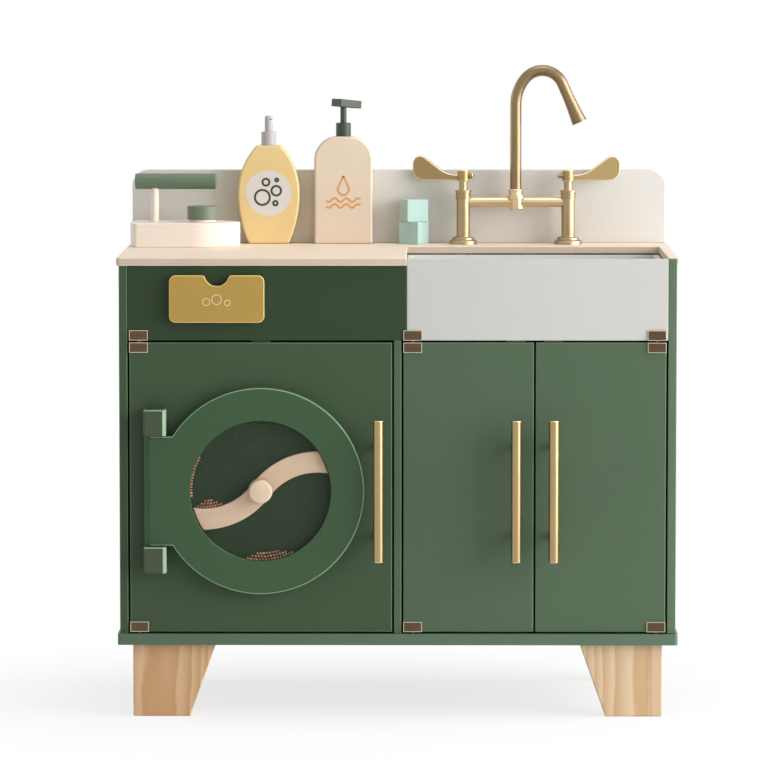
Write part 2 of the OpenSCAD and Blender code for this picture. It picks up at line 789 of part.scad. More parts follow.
// The notch's outline about the middle of the drawer's upper edge: a round dip between two rounded shoulders
module notch() {
    dip = [0, notch_r - notch_d];
    drop = notch_r - notch_d + notch_shoulder;
    reach = sqrt(pow(notch_r + notch_shoulder, 2) - drop*drop);
    meet = atan2(drop, reach);
    polygon(concat([[-reach, 1]], arc([-reach, -notch_shoulder], notch_shoulder, 90, meet, 6),
        arc(dip, notch_r, 180 + meet, 360 - meet, 16),
        arc([reach, -notch_shoulder], notch_shoulder, 180 - meet, 90, 6), [[reach, 1]]));
}

module drawer_front() color(mustard)
    upright(front_y - seat_fit - drawer_front_t, drawer_front_t) difference() {
        rounded(drawer_x0, drawer_z0, drawer_x0 + drawer_w, drawer_z0 + drawer_h, drawer_r);
        translate([drawer_x0 + drawer_w/2, drawer_z0 + drawer_h]) notch();
    }

module drawer_tray() color(cream) difference() {
    translate([tray_x0, front_y - seat_fit, tray_z]) cube([tray_w, tray_d, tray_h]);
    translate([tray_x0 + tray_wall, front_y - seat_fit + tray_wall, tray_z + tray_wall])
        cube([tray_w - 2*tray_wall, tray_d - 2*tray_wall, tray_h]);
}

// An L-shaped runner under each lower corner of the tray, from the fascia to the back panel
module drawer_runners() color(pine) for (side = [-1, 1])
    translate([tray_x0 + tray_w/2, 0, 0]) mirror([side < 0 ? 1 : 0, 0, 0]) {
        edge = tray_w/2 + slide_fit;
        translate([edge - runner_s, inner_y, tray_z - seat_fit - runner_s])
            cube([2*runner_s, rear_y - inner_y, runner_s]);
        translate([edge, inner_y, tray_z - seat_fit])
            cube([runner_s, rear_y - inner_y, runner_s]);
    }

// ---- cupboard doors ----

module left_door_panel() color(door_green) difference() {
    door_panel(1, cupboard_x0, cupboard_mid - door_gap/2);
    handle_screws(1, fixed_fit);
}
module left_door_screws() color(steel) handle_screws(1);

module right_door_panel() color(door_green) difference() {
    door_panel(2, cupboard_mid + door_gap/2, cupboard_x1);
    handle_screws(2, fixed_fit);
}
module right_door_screws() color(steel) handle_screws(2);

// ---- tap ----

module at_column(side) translate([tap_x + side*tap_span/2, tap_y, deck_z]) children();

module faucet_columns() color(gold) for (side = [-1, 1]) at_column(side) {
    for (i = [0, 1]) cylinder(d = flange_d - 2*flange_step*i, h = flange_h[i]);
    cylinder(d = column_d, h = collar_top - rim_h);
    translate([0, 0, collar_top - rim_h]) cylinder(d = column_d + 2*rim_step, h = rim_h);
    translate([0, 0, collar_top]) cylinder(d = tap_neck_d, h = column_h - collar_top);
    translate([0, 0, column_h]) cylinder(d = lever_pivot_d, h = lever_hub_h - lever_roof);
    translate([0, 0, -worktop_t - nut_h - stud_end]) cylinder(d = stud_d, h = worktop_t + nut_h + stud_end);
}

module faucet_nuts() color(steel) for (side = [-1, 1]) at_column(side)
    translate([0, 0, -worktop_t - nut_h]) difference() {
        cylinder(d = 2*stud_d, h = nut_h, $fn = 6);
        translate([0, 0, -1]) cylinder(d = stud_d + 2*fixed_fit, h = nut_h + 2);
    }

// Cross pipe between the columns, with the socket that the spout turns in
module faucet_bridge() color(gold) difference() {
    union() {
        translate([tap_x - tap_span/2, tap_y, deck_z + bridge_up])
            rotate([0, 90, 0]) cylinder(d = bridge_d, h = tap_span);
        translate([tap_x, tap_y, tap_hub_z]) cylinder(d = tap_hub_d, h = tap_hub_h);
        translate([tap_x, tap_y, tap_hub_z + tap_hub_h - tap_lip])
            cylinder(d = tap_hub_d + 2, h = tap_lip);
    }
    for (side = [-1, 1]) at_column(side) cylinder(d = column_d, h = collar_top);
    translate([tap_x, tap_y, spout_foot_z - run_fit]) cylinder(d = spout_d + 2*run_fit, h = tap_hub_h);
}

tap_hub_z = deck_z + bridge_up - tap_hub_low;
spout_foot_z = tap_hub_z + tap_lip;
bend_z = deck_z + spout_h - spout_d/2 - bend_r;
nozzle_flare = 0.5;     // share of the nozzle that widens
mouth_in = 4;           // depth of the hollow in its mouth
pipe_step = 0.2;        // the bend is a little thinner than the pipes that it runs into
pipe_lap = 1;           // and this far inside them

// The spout, its nozzle to the right
module faucet_spout() color(gold) translate([tap_x, tap_y, 0]) {
    translate([0, 0, spout_foot_z]) cylinder(d = spout_d, h = bend_z + pipe_lap - spout_foot_z);
    translate([bend_r, 0, bend_z]) rotate([90, 0, 0]) rotate([0, 0, 180 - bend_a])
        rotate_extrude(angle = bend_a) translate([bend_r, 0]) circle(d = spout_d - pipe_step, $fn = 48);
    translate([bend_r + bend_r*cos(180 - bend_a), 0, bend_z + bend_r*sin(180 - bend_a)])
        rotate([0, bend_a, 0]) difference() {
            union() {
                translate([0, 0, -pipe_lap])
                    cylinder(d = spout_d + pipe_step, h = nozzle_len*(1 - nozzle_flare) + pipe_lap);
                translate([0, 0, nozzle_len*(1 - nozzle_flare)])
                    cylinder(d1 = spout_d + pipe_step, d2 = mouth_d, h = nozzle_len*nozzle_flare);
            }
            translate([0, 0, nozzle_len - mouth_in]) cylinder(d = mouth_d - 5, h = mouth_in + 1);
        }
}

// A blade's outline from its hub's axis: level below, rounded at the end, and its upper edge
// falls at an angle and sweeps into the root
module blade() {
    crown = [lever_len - crown_r, lever_end_h - crown_r];
    brow = crown + crown_r*[-sin(blade_fall), cos(blade_fall)];
    foot_z = root_h + sweep_r*(1 - cos(blade_fall));
    foot_x = brow[0] - (brow[1] - foot_z)/tan(blade_fall);
    sweep = [foot_x - sweep_r*sin(blade_fall), root_h + sweep_r];
    polygon(concat([[0, root_h], [0, 0]], arc([lever_len - heel_r, heel_r], heel_r, -90, 0, 10),
        arc(crown, crown_r, 0, 90 + blade_fall, 12), arc(sweep, sweep_r, blade_fall - 90, -90, 8)));
}
root_h = 6.3;           // height of the blade at its hub
heel_r = 13;            // radius of its lower corner
crown_r = 9;            // radius of its upper corner
sweep_r = 35;           // radius in which its upper edge meets the root
blade_fall = 36;        // angle of its upper edge
blade_up = 1;           // its lower edge above the hub's

// A lever: hub on the column's pivot, its blade, and a stub behind with a blind hole in its end
module lever(side, back) color(gold) at_column(side) rotate(side*back) difference() {
    union() {
        translate([0, 0, column_h]) cylinder(r = lever_hub_r, h = lever_hub_h);
        translate([0, lever_t/2, column_h + blade_up]) rotate([90, 0, 0]) linear_extrude(lever_t)
            mirror([side < 0 ? 1 : 0, 0]) blade();
        at_stub_end(side) cylinder(d = stub_d, h = stub_len);
    }
    at_stub_end(side) translate([0, 0, -1]) cylinder(d = stub_hole_d, h = stub_hole_in + 1);
    translate([0, 0, column_h - 1])
        cylinder(d = lever_pivot_d + 2*run_fit, h = lever_hub_h - lever_roof + 1 + run_fit);
}
module at_stub_end(side) translate([-side*stub_len, 0, column_h + lever_hub_h/2])
    rotate([0, side*90, 0]) children();
module left_lever() lever(-1, left_lever_back);
module right_lever() lever(1, right_lever_back);

// ---- iron ----

iron_post_x = iron_x0 + iron_post_at;
dial_x = iron_x0 + dial_at;
iron_top = deck_z + iron_t;
iron_pin_in = 10;       // post and dial pin inside the base
dial_pin_d = 6;
dial_stem_h = 2.5;
dial_stem_in = 2.5;     // stem's edge inside the dial's
nose_tip = 8;           // half of the blunt nose's width
nose_r = 60;            // radius in which each side runs to the nose
sole_heel_r = 132;      // radius of the bowed heel

// An iron's sole from the middle of its heel: a bowed heel at the left, its sides curved to a blunt nose
module sole() {
    half = iron_w/2;
    bow = asin(half/sole_heel_r);
    in = half - nose_tip;
    turn = acos((nose_r - in)/nose_r);
    nose_x = iron_len - nose_r*sin(turn);
    polygon(concat(arc([sole_heel_r, 0], sole_heel_r, 180 + bow, 180 - bow, 10),
        arc([nose_x, half - nose_r], nose_r, 90, 90 - turn, 12),
        arc([nose_x, nose_r - half], nose_r, turn - 90, -90, 12)));
}

module iron_base() color(cream) difference() {
    flat(deck_z, iron_t) translate([iron_x0, iron_y]) sole();
    translate([iron_post_x, iron_y, iron_top - iron_pin_in])
        cylinder(d = iron_post_d + 2*fixed_fit, h = iron_t);
    translate([dial_x, iron_y, iron_top - iron_pin_in]) cylinder(d = dial_pin_d + 2*run_fit, h = iron_t);
}

module iron_post() color(cream) translate([iron_post_x, iron_y, iron_top - iron_pin_in])
    cylinder(d = iron_post_d, h = deck_z + grip_up - iron_top + iron_pin_in);

module iron_handle() color(board_green) difference() {
    translate([iron_x0 + grip_in, iron_y, deck_z + grip_up])
        rotate([0, 90, 0]) cylinder(d = grip_d, h = grip_len);
    translate([iron_post_x, iron_y, deck_z + grip_up - grip_d])
        cylinder(d = iron_post_d + 2*fixed_fit, h = grip_d);
}

module iron_dial() color(board_green) translate([dial_x, iron_y, iron_top]) {
    translate([0, 0, dial_stem_h]) cylinder(d = dial_d, h = dial_t);
    cylinder(d = dial_d - 2*dial_stem_in, h = dial_stem_h);
    translate([0, 0, -iron_pin_in + 1]) cylinder(d = dial_pin_d, h = iron_pin_in);
}

// ---- bottles and soap ----

// Radius of the arc that runs from a bottle's waist to a narrower level
function flank_r(rise, step) = (rise*rise + step*step)/(2*step);

module oval_outline() {
    low_r = flank_r(oval_waist, (oval_w - oval_foot_w)/2);
    high_r = flank_r(oval_h - oval_waist, (oval_w - oval_top_w)/2);
    low_a = asin(oval_waist/low_r);
    high_a = asin((oval_h - oval_waist)/high_r);
    flank = concat(arc([oval_w/2 - low_r, oval_waist], low_r, -low_a, 0, 8),
        arc([oval_w/2 - high_r, oval_waist], high_r, high_a/10, high_a, 9));
    polygon(concat(flank, [for (i = [len(flank) - 1 : -1 : 0]) [-flank[i][0], flank[i][1]]]));
}

plug_d = 8;
plug_len = 12;
module bottle_plug(fit = 0)
    translate([0, 0, -plug_len - fit]) cylinder(d = plug_d + 2*fit, h = plug_len + 2*fit);

module bleach_bottle_body() color([0.90, 0.79, 0.50]) difference() {
    translate([oval_x, 0, deck_z]) upright(bottle_y - bottle_t/2, bottle_t) oval_outline();
    translate([oval_x, bottle_y, deck_z + oval_h]) bottle_plug(fixed_fit);
}

nozzle_h = 18;
nozzle_d = 9;
nozzle_hole_d = 2;
nozzle_hole_down = 4;   // its outlet below the top
module bleach_bottle_nozzle() color([0.72, 0.70, 0.69])
    translate([oval_x, bottle_y, deck_z + oval_h]) difference() {
        union() {
            bottle_plug();
            cylinder(d = collar_d, h = collar_h);
            translate([0, 0, collar_h]) cylinder(d = nozzle_d, h = nozzle_h);
        }
        translate([0, 0, collar_h + nozzle_h - nozzle_hole_down])
            rotate([90, 0, 30]) cylinder(d = nozzle_hole_d, h = nozzle_d);
    }

module detergent_bottle_body() color([0.89, 0.81, 0.73]) difference() {
    translate([square_x, 0, deck_z]) upright(bottle_y - bottle_t/2, bottle_t) {
        translate([-square_w/2, 0]) square([square_w, square_h - square_r]);
        translate([-square_w/2 + square_r, 0]) square([square_w - 2*square_r, square_h]);
        for (side = [-1, 1]) translate([side*(square_w/2 - square_r), square_h - square_r]) circle(square_r);
    }
    translate([square_x, bottle_y, deck_z + square_h]) bottle_plug(fixed_fit);
}

stem_h = 19;
stem_d = 7;
head_l = 32.5;
head_w = 15.5;
head_h = 8.5;
head_turn = 45;
head_droop = 5.5;       // its spout end hangs lower
head_back = 11.8;
head_sink = 1.5;        // stem inside the head
module detergent_pump() color(board_green) translate([square_x, bottle_y, deck_z + square_h]) {
    bottle_plug();
    cylinder(d = collar_d, h = collar_h);
    translate([0, 0, collar_h]) cylinder(d = stem_d, h = stem_h);
    translate([0, 0, collar_h + stem_h - head_sink]) rotate([0, head_droop, head_turn])
        translate([-head_back, -head_w/2, 0]) cube([head_l, head_w, head_h]);
}

module soap_cube(level) color(mint)
    translate([cube_right, cube_y, deck_z + level*cube_s]) rotate(cube_turn[level])
        translate([-cube_s/2, -cube_s/2, 0]) cube(cube_s);
module soap_cube_lower() soap_cube(0);
module soap_cube_upper() soap_cube(1);

base_board();
left_side_panel();
right_side_panel();
centre_partition();
back_panel();
worktop();
backsplash();
washer_fascia();
sink_apron();
sink_walls();
sink_floor();
front_left_leg();
front_right_leg();
back_left_leg();
back_right_leg();
cabinet_screws();
drawer_runners();
hinge_brackets();
door_catches();
faucet_columns();
faucet_bridge();
faucet_nuts();
faucet_spout();
left_lever();
right_lever();
washer_door_panel();
washer_handle();
washer_hinge_clips();
washer_door_screws();
porthole_hinge_blocks();
porthole_hinge_pins();
porthole_ring();
window_pane();
chamber_ring();
chamber_back();
chamber_screws();
wash_paddle();
paddle_shaft();
paddle_knob();
wash_beads();
drawer_front();
drawer_tray();
left_door_panel();
left_door_handle();
left_door_hinge_clips();
left_door_screws();
right_door_panel();
right_door_handle();
right_door_hinge_clips();
right_door_screws();
iron_base();
iron_handle();
iron_post();
iron_dial();
bleach_bottle_body();
bleach_bottle_nozzle();
detergent_bottle_body();
detergent_pump();
soap_cube_lower();
soap_cube_upper();
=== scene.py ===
import json
import math
import random

import bmesh
import bpy
from mathutils import Matrix, Vector

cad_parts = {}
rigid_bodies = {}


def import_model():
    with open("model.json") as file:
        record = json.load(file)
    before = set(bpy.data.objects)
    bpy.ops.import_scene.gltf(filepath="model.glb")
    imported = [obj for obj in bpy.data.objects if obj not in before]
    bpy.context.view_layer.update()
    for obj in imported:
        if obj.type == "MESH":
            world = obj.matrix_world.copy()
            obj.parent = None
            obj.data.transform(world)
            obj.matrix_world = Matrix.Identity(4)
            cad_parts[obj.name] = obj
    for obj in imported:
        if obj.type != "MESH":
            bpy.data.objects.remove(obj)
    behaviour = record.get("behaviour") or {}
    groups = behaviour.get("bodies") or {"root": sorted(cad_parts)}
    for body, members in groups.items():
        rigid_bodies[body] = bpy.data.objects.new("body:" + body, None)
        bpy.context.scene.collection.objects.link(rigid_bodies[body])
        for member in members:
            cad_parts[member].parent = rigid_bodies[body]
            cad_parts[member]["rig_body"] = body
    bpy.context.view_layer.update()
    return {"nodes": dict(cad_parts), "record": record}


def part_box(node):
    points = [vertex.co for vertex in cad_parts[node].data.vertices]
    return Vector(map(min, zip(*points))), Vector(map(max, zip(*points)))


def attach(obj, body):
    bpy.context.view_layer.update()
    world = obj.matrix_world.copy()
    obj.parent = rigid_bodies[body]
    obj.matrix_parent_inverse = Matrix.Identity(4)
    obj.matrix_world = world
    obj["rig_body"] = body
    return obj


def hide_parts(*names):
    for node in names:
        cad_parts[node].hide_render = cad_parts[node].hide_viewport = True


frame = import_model()
nodes = frame["nodes"]
slotOf = {part["node"]: part["material_slot"] for part in frame["record"]["subparts"]}
mm = 0.001
random.seed(7)
print("frame loaded:", len(nodes), "nodes")


class Wire:  # a shader socket that takes part in sums
    def __init__(self, finish, socket):
        self.finish = finish
        self.socket = socket

    def __add__(self, other):
        return self.finish.maths("ADD", self, other)

    def __radd__(self, other):
        return self.finish.maths("ADD", other, self)

    def __sub__(self, other):
        return self.finish.maths("SUBTRACT", self, other)

    def __rsub__(self, other):
        return self.finish.maths("SUBTRACT", other, self)

    def __mul__(self, other):
        return self.finish.maths("MULTIPLY", self, other)

    def __rmul__(self, other):
        return self.finish.maths("MULTIPLY", other, self)

    def __pow__(self, other):
        return self.finish.maths("POWER", self, other)

    def __gt__(self, other):
        return self.finish.maths("GREATER_THAN", self, other)


class Finish:  # one material, or the room's light, under construction
    def __init__(self, name, room=None):
        self.material = room or bpy.data.materials.new(name)
        self.material.use_nodes = True
        self.tree = self.material.node_tree
        self.tree.nodes.clear()
        self.place = self.node("ShaderNodeTexCoord", out="Generated" if room else "Object")

    # settings first, then the values or links of the sockets
    def node(self, kind, settings=None, inputs=None, out=0):
        made = self.tree.nodes.new(kind)
        for key, value in (settings or {}).items():
            if key == "stops":
                stops = made.color_ramp.elements
                for number, (at, colour) in enumerate(value):
                    entry = stops[number] if number < 2 else stops.new(at)
                    entry.position = at
                    entry.color = colour
            else:
                setattr(made, key, value)
        for key, value in (inputs or {}).items():
            if isinstance(value, Wire):
                self.tree.links.new(value.socket, made.inputs[key])
            else:
                made.inputs[key].default_value = value
        return Wire(self, made.outputs[out]) if made.outputs else made

    def maths(self, operation, a, b=0.0):
        return self.node("ShaderNodeMath", {"operation": operation}, {0: a, 1: b})

    def tint(self, amount, first, second):
        return self.node("ShaderNodeMix", {"data_type": "RGBA"},
                         {0: amount, 6: first, 7: second}, out=2)

    def stretch(self, scale):
        return self.node("ShaderNodeMapping", {}, {"Vector": self.place, "Scale": scale})

    def noise(self, scale, detail=2.0, rough=0.5, where=None):
        return self.node("ShaderNodeTexNoise", {}, {"Vector": where or self.place, "Scale": scale,
                                                    "Detail": detail, "Roughness": rough})

    def ramp(self, value, low, high, atLow=0.0, atHigh=1.0):
        return self.node("ShaderNodeMapRange", {"interpolation_type": "SMOOTHSTEP"},
                         {"Value": value, "From Min": low, "From Max": high,
                          "To Min": atLow, "To Max": atHigh})

    # 1 where the eye, a gloss or a glass looks, 0 for the light on the object
    def plainRays(self):
        rays = self.node("ShaderNodeLightPath").socket.node.outputs
        kinds = ("Is Camera Ray", "Is Glossy Ray", "Is Transmission Ray")
        eye, gloss, glass = [Wire(self, rays[kind]) for kind in kinds]
        return self.maths("MAXIMUM", eye, self.maths("MAXIMUM", gloss, glass))

    def bump(self, height, depth, strength=1.0):
        return self.node("ShaderNodeBump", {},
                         {"Height": height, "Distance": depth, "Strength": strength}, out="Normal")

    def done(self, inputs):
        shader = self.node("ShaderNodeBsdfPrincipled", {}, inputs)
        self.node("ShaderNodeOutputMaterial", {}, {"Surface": shader})
        return self.material


def shade(red, green, blue, level=1.0):  # an sRGB colour from 0 to 255, as a shader takes it
    parts = [min(part*level, 255)/255 for part in (red, green, blue)]
    return tuple(p/12.92 if p <= 0.04045 else ((p + 0.055)/1.055)**2.4 for p in parts) + (1.0,)


def toned(rgb, shares):  # a colour with its red, green and blue each scaled by a share of its own
    return shade(*[part*share for part, share in zip(rgb, shares)])


# roller-painted board: a slow drift of colour, faint roller stipple, a few duller patches
def paintedBoard(name, rgb, gloss=0.52, drift=0.05, stipple=0.00004, shine=0.2):
    finish = Finish(name)
    cloud = finish.noise(5.0, 4.0)
    grain = finish.noise(650.0, 2.0, 0.6)
    patch = finish.noise(18.0, 3.0)
    colour = finish.tint(cloud, shade(*rgb, level=1 - drift), shade(*rgb, level=1 + drift))
    speck = finish.noise(2400.0, 1.0) > 0.68
    colour = finish.tint(speck*0.05, colour, shade(*rgb, level=1.2))
    return finish.done({"Base Color": colour,
                        "Roughness": gloss - 0.05 + patch*0.1 + grain*0.06,
                        "Specular IOR Level": shine,
                        "Normal": finish.bump(grain + cloud*0.4, stipple, 0.3)})


# pale close-grained wood under a matte coat, its grain along one axis
def creamWood(name, rgb, along="x", gloss=0.5, contrast=1.0):
    finish = Finish(name)
    thin = {"x": (0.05, 1, 1), "y": (1, 0.05, 1), "z": (1, 1, 0.05)}[along]
    streak = finish.noise(170.0, 5.0, 0.65, finish.stretch(thin))
    fibre = finish.noise(1500.0, 2.0, 0.5, finish.stretch(thin))
    cloud = finish.noise(9.0, 3.0)
    pale = shade(*rgb, level=1.0 + 0.025*contrast)
    deep = toned(rgb, [1 - loss*contrast for loss in (0.05, 0.08, 0.13)])
    colour = finish.tint(streak*0.75 + cloud*0.25, pale, deep)
    colour = finish.tint((fibre > 0.62)*0.12*contrast, colour, shade(*rgb, level=0.84))
    return finish.done({"Base Color": colour,
                        "Roughness": gloss + streak*0.08,
                        "Specular IOR Level": 0.4,
                        "Normal": finish.bump(fibre*0.6 + streak, 0.00005, 0.5)})


# layered edge of the worktop board: thin plies lying flat
def plyEdge(name, rgb):
    finish = Finish(name)
    plies = finish.node("ShaderNodeTexWave", {"wave_type": "BANDS", "bands_direction": "Z"},
                        {"Vector": finish.place, "Scale": 190.0, "Distortion": 0.6, "Detail": 2.0,
                         "Detail Scale": 3.0}, out=1)
    fibre = finish.noise(900.0, 3.0, 0.6, finish.stretch((0.06, 0.06, 1)))
    colour = finish.tint(plies, shade(*rgb, level=0.93), shade(*rgb, level=1.05))
    colour = finish.tint(fibre*0.35, colour, shade(*rgb, level=0.82))
    return finish.done({"Base Color": colour, "Roughness": 0.6,
                        "Normal": finish.bump(fibre + plies, 0.00005, 0.5)})


# planed softwood: growth rings of a log that stands along z, seen on the cut faces
def planedPine(name, rgb, heart, ringGap, warp=5.0, seam=None):
    finish = Finish(name)
    parts = finish.node("ShaderNodeSeparateXYZ", {}, {"Vector": finish.place})
    axes = parts.socket.node.outputs
    sideways, inwards = Wire(finish, axes[0]), Wire(finish, axes[1])
    sway = finish.noise(14.0, 3.0, 0.5, finish.stretch((1, 1, 0.28)))
    ripple = finish.noise(90.0, 2.0, 0.5, finish.stretch((1, 1, 0.05)))
    far = ((sideways - heart[0])**2 + (inwards - heart[1])**2)**0.5
    turns = far*(1/ringGap) + sway*warp + ripple*0.25
    saw = finish.maths("FRACT", turns)
    light = shade(*rgb, level=1.09)
    mid = toned(rgb, (1, 0.96, 0.92))
    late = toned(rgb, (0.93, 0.82, 0.70))
    ring = [(0.0, light), (0.45, mid), (0.86, late), (1.0, light)]
    colour = finish.node("ShaderNodeValToRGB", {"stops": ring}, {"Fac": saw})
    fibre = finish.noise(1300.0, 3.0, 0.6, finish.stretch((1, 1, 0.02)))
    warm = finish.noise(16.0, 2.0, 0.5, finish.stretch((1, 1, 0.35)))
    colour = finish.tint(warm*0.55, colour, toned(rgb, (1, 0.88, 0.74)))
    colour = finish.tint(fibre*0.3, colour, shade(*rgb, level=1.12))
    if seam is not None:  # a glue line, a darker band inside it and a rosy strip outside
        beyond = finish.ramp(sideways, seam, seam + 0.4*mm)
        fromSeam = finish.maths("ABSOLUTE", sideways - seam)
        line = finish.ramp(fromSeam, 0.3*mm, 0.9*mm, 1.0, 0.0)
        band = finish.ramp(sideways, seam - 9*mm, seam - 2*mm)
        colour = finish.tint(band*0.4, colour, late)
        colour = finish.tint(beyond*0.7, colour, toned(rgb, (1.03, 0.98, 0.98)))
        colour = finish.tint(line*0.5, colour, toned(rgb, (0.84, 0.68, 0.55)))
    return finish.done({"Base Color": colour,
                        "Roughness": 0.55 + fibre*0.12,
                        "Specular IOR Level": 0.35,
                        "Normal": finish.bump(fibre + saw*0.5, 0.00008, 0.6)})


# anodised bar, brushed along its length
def brushedGold(name, rgb, gloss=0.3):
    finish = Finish(name)
    scratch = finish.noise(2600.0, 3.0, 0.6, finish.stretch((1, 1, 0.02)))
    cloud = finish.noise(30.0, 3.0)
    colour = finish.tint(cloud*0.5 + scratch*0.5, shade(*rgb, level=0.95), shade(*rgb, level=1.06))
    return finish.done({"Base Color": colour, "Metallic": 1.0,
                        "Roughness": gloss + scratch*0.06 + cloud*0.03,
                        "Normal": finish.bump(scratch, 0.00002, 0.5)})


# sprayed satin gold, a fine stipple all round
def sprayedGold(name, rgb, gloss=0.42):
    finish = Finish(name)
    stipple = finish.noise(1800.0, 2.0, 0.5)
    cloud = finish.noise(22.0, 3.0)
    colour = finish.tint(cloud, shade(*rgb, level=0.96), shade(*rgb, level=1.05))
    return finish.done({"Base Color": colour, "Metallic": 0.9,
                        "Roughness": gloss + stipple*0.08 + cloud*0.04,
                        "Normal": finish.bump(stipple, 0.000004, 0.2)})


def plated(name, rgb, gloss=0.25):  # nickel on pressed or turned steel
    finish = Finish(name)
    smear = finish.noise(120.0, 3.0)
    fine = finish.noise(3000.0, 2.0)
    colour = finish.tint(smear, shade(*rgb, level=0.9), shade(*rgb, level=1.1))
    return finish.done({"Base Color": colour, "Metallic": 1.0,
                        "Roughness": gloss + smear*0.12,
                        "Normal": finish.bump(fine, 0.00001, 0.4)})


def satinPaint(name, rgb, gloss=0.42, drift=0.03):  # smooth paint on small turned wood
    finish = Finish(name)
    cloud = finish.noise(25.0, 3.0)
    grain = finish.noise(900.0, 2.0, 0.6)
    colour = finish.tint(cloud, shade(*rgb, level=1 - drift), shade(*rgb, level=1 + drift))
    return finish.done({"Base Color": colour, "Roughness": gloss + grain*0.08 + cloud*0.04,
                        "Normal": finish.bump(grain, 0.00003, 0.5)})


def clearSheet(name, rgb):  # acrylic window: nearly nothing but its gloss
    finish = Finish(name)
    film = finish.noise(12.0, 3.0)
    return finish.done({"Base Color": shade(*rgb), "Roughness": 0.08 + film*0.06,
                        "Alpha": 0.035 + film*0.02, "Specular IOR Level": 0.5})


def glossyBead(name, rgb):  # small balls, each of its own depth of colour
    finish = Finish(name)
    pick = finish.noise(420.0, 0.0)
    colour = finish.tint(pick, shade(*rgb, level=0.4), shade(*rgb, level=1.2))
    return finish.done({"Base Color": colour, "Roughness": 0.16 + pick*0.1, "Coat Weight": 1.0,
                        "Coat Roughness": 0.06})


# one green paint in lit and shaded copies: the cupboard and side tones are the door's green painted
# lighter, a painted light, and the fascia tone is it painted darker, a painted shade
tones = {
    "door": (65, 84, 60), "side": (92, 111, 89), "cupboard": (80, 99, 77),
    "doorEdge": (96, 120, 92), "fascia": (48, 65, 44), "ring": (63, 88, 62),
    "ringEdge": (150, 178, 148), "block": (72, 84, 64), "ringRim": (134, 166, 132),
    "base": (90, 112, 92), "disc": (38, 54, 34), "iron": (98, 118, 94),
    "dial": (116, 128, 106), "pump": (46, 62, 42), "pale": (200, 199, 195),
    "splash": (218, 215, 209), "sink": (222, 221, 218), "cream": (242, 226, 209),
    "ironCream": (252, 242, 232), "ply": (216, 197, 176), "paddle": (232, 204, 180),
    "knob": (228, 208, 186), "drawer": (178, 145, 66), "drawerEdgeHighlight": (226, 200, 122),
    "oval": (237, 208, 146), "square": (230, 212, 192), "nozzle": (188, 184, 184),
    "mint": (180, 212, 204), "pine": (206, 176, 142), "palePine": (206, 186, 158),
    "gold": (168, 146, 112), "goldEdge": (226, 208, 172), "lever": (158, 136, 94),
    "pipe": (134, 114, 86), "bridge": (212, 188, 150), "handle": (170, 149, 108),
    "nickel": (98, 80, 62), "nickelEdge": (212, 200, 178), "steel": (170, 165, 158),
    "film": (120, 136, 118), "bead": (206, 142, 108), "catch": (158, 158, 146),
    "printPale": (226, 220, 216), "printDark": (58, 66, 46),
    "printOrange": (222, 160, 92), "printCream": (232, 216, 168),
}

# each finish: what makes it, its tone, and the settings of its own
finishTable = {
    "doorGreen": (paintedBoard, "door", {}),
    "cupboardGreen": (paintedBoard, "cupboard", {}),
    "doorEdge": (paintedBoard, "doorEdge", {"gloss": 0.45}),
    "fasciaGreen": (paintedBoard, "fascia", {}),
    "ringGreen": (paintedBoard, "ring", {"gloss": 0.46}),
    "ringEdge": (paintedBoard, "ringEdge", {"gloss": 0.4}),
    "blockGreen": (paintedBoard, "block", {"gloss": 0.45}),
    "ringRim": (paintedBoard, "ringRim", {"gloss": 0.4}),
    "baseGreen": (paintedBoard, "base", {"gloss": 0.46}),
    "discGreen": (paintedBoard, "disc", {"shine": 0.1}),
    "sideGreen": (paintedBoard, "side", {}),
    "paleBoard": (paintedBoard, "pale", {"gloss": 0.5, "drift": 0.015}),
    "splashBoard": (paintedBoard, "splash", {"gloss": 0.5, "drift": 0.015}),
    "sinkBoard": (paintedBoard, "sink", {"gloss": 0.45, "drift": 0.015}),
    "creamAlong": (creamWood, "cream", {}),
    "creamBack": (creamWood, "cream", {"along": "y"}),
    "creamUp": (creamWood, "cream", {"along": "z"}),
    "ironCream": (creamWood, "ironCream", {"contrast": 0.6}),
    "plyEdge": (plyEdge, "ply", {}),
    "paddleWood": (creamWood, "paddle", {"contrast": 1.2}),
    "knobWood": (creamWood, "knob", {"along": "z", "contrast": 1.2}),
    "mustard": (satinPaint, "drawer", {"gloss": 0.5}),
    "mustardEdge": (satinPaint, "drawerEdgeHighlight", {"gloss": 0.5}),
    "handleGold": (brushedGold, "handle", {"gloss": 0.27}),
    # the spout's gold is a darker copy and the bridge's a lighter copy of the tap's gold: painted
    # shade and painted highlight
    "tapGold": (sprayedGold, "gold", {"gloss": 0.27}),
    "pipeGold": (sprayedGold, "pipe", {"gloss": 0.27}),
    "bridgeGold": (sprayedGold, "bridge", {"gloss": 0.27}),
    "tapGoldEdge": (sprayedGold, "goldEdge", {"gloss": 0.3}),
    "leverGold": (sprayedGold, "lever", {"gloss": 0.32}),
    "nickel": (plated, "nickel", {}),
    "nickelEdge": (plated, "nickelEdge", {}),
    "steel": (plated, "steel", {}),
    "window": (clearSheet, "film", {}),
    "beads": (glossyBead, "bead", {}),
    "catch": (satinPaint, "catch", {}),
    "yellow": (satinPaint, "oval", {}),
    "beige": (satinPaint, "square", {}),
    "grey": (satinPaint, "nozzle", {}),
    "pumpGreen": (satinPaint, "pump", {}),
    "ironGreen": (satinPaint, "iron", {}),
    "dialGreen": (satinPaint, "dial", {}),
    "mint": (satinPaint, "mint", {"gloss": 0.4}),
    "printPale": (satinPaint, "printPale", {"gloss": 0.5}),
    "printDark": (satinPaint, "printDark", {"gloss": 0.5}),
    "printOrange": (satinPaint, "printOrange", {"gloss": 0.5}),
    "printCream": (satinPaint, "printCream", {"gloss": 0.5}),
}
finishes = {name: make(name, tones[tone], **settings)
            for name, (make, tone, settings) in finishTable.items()}
print("finishes made:", len(finishes))


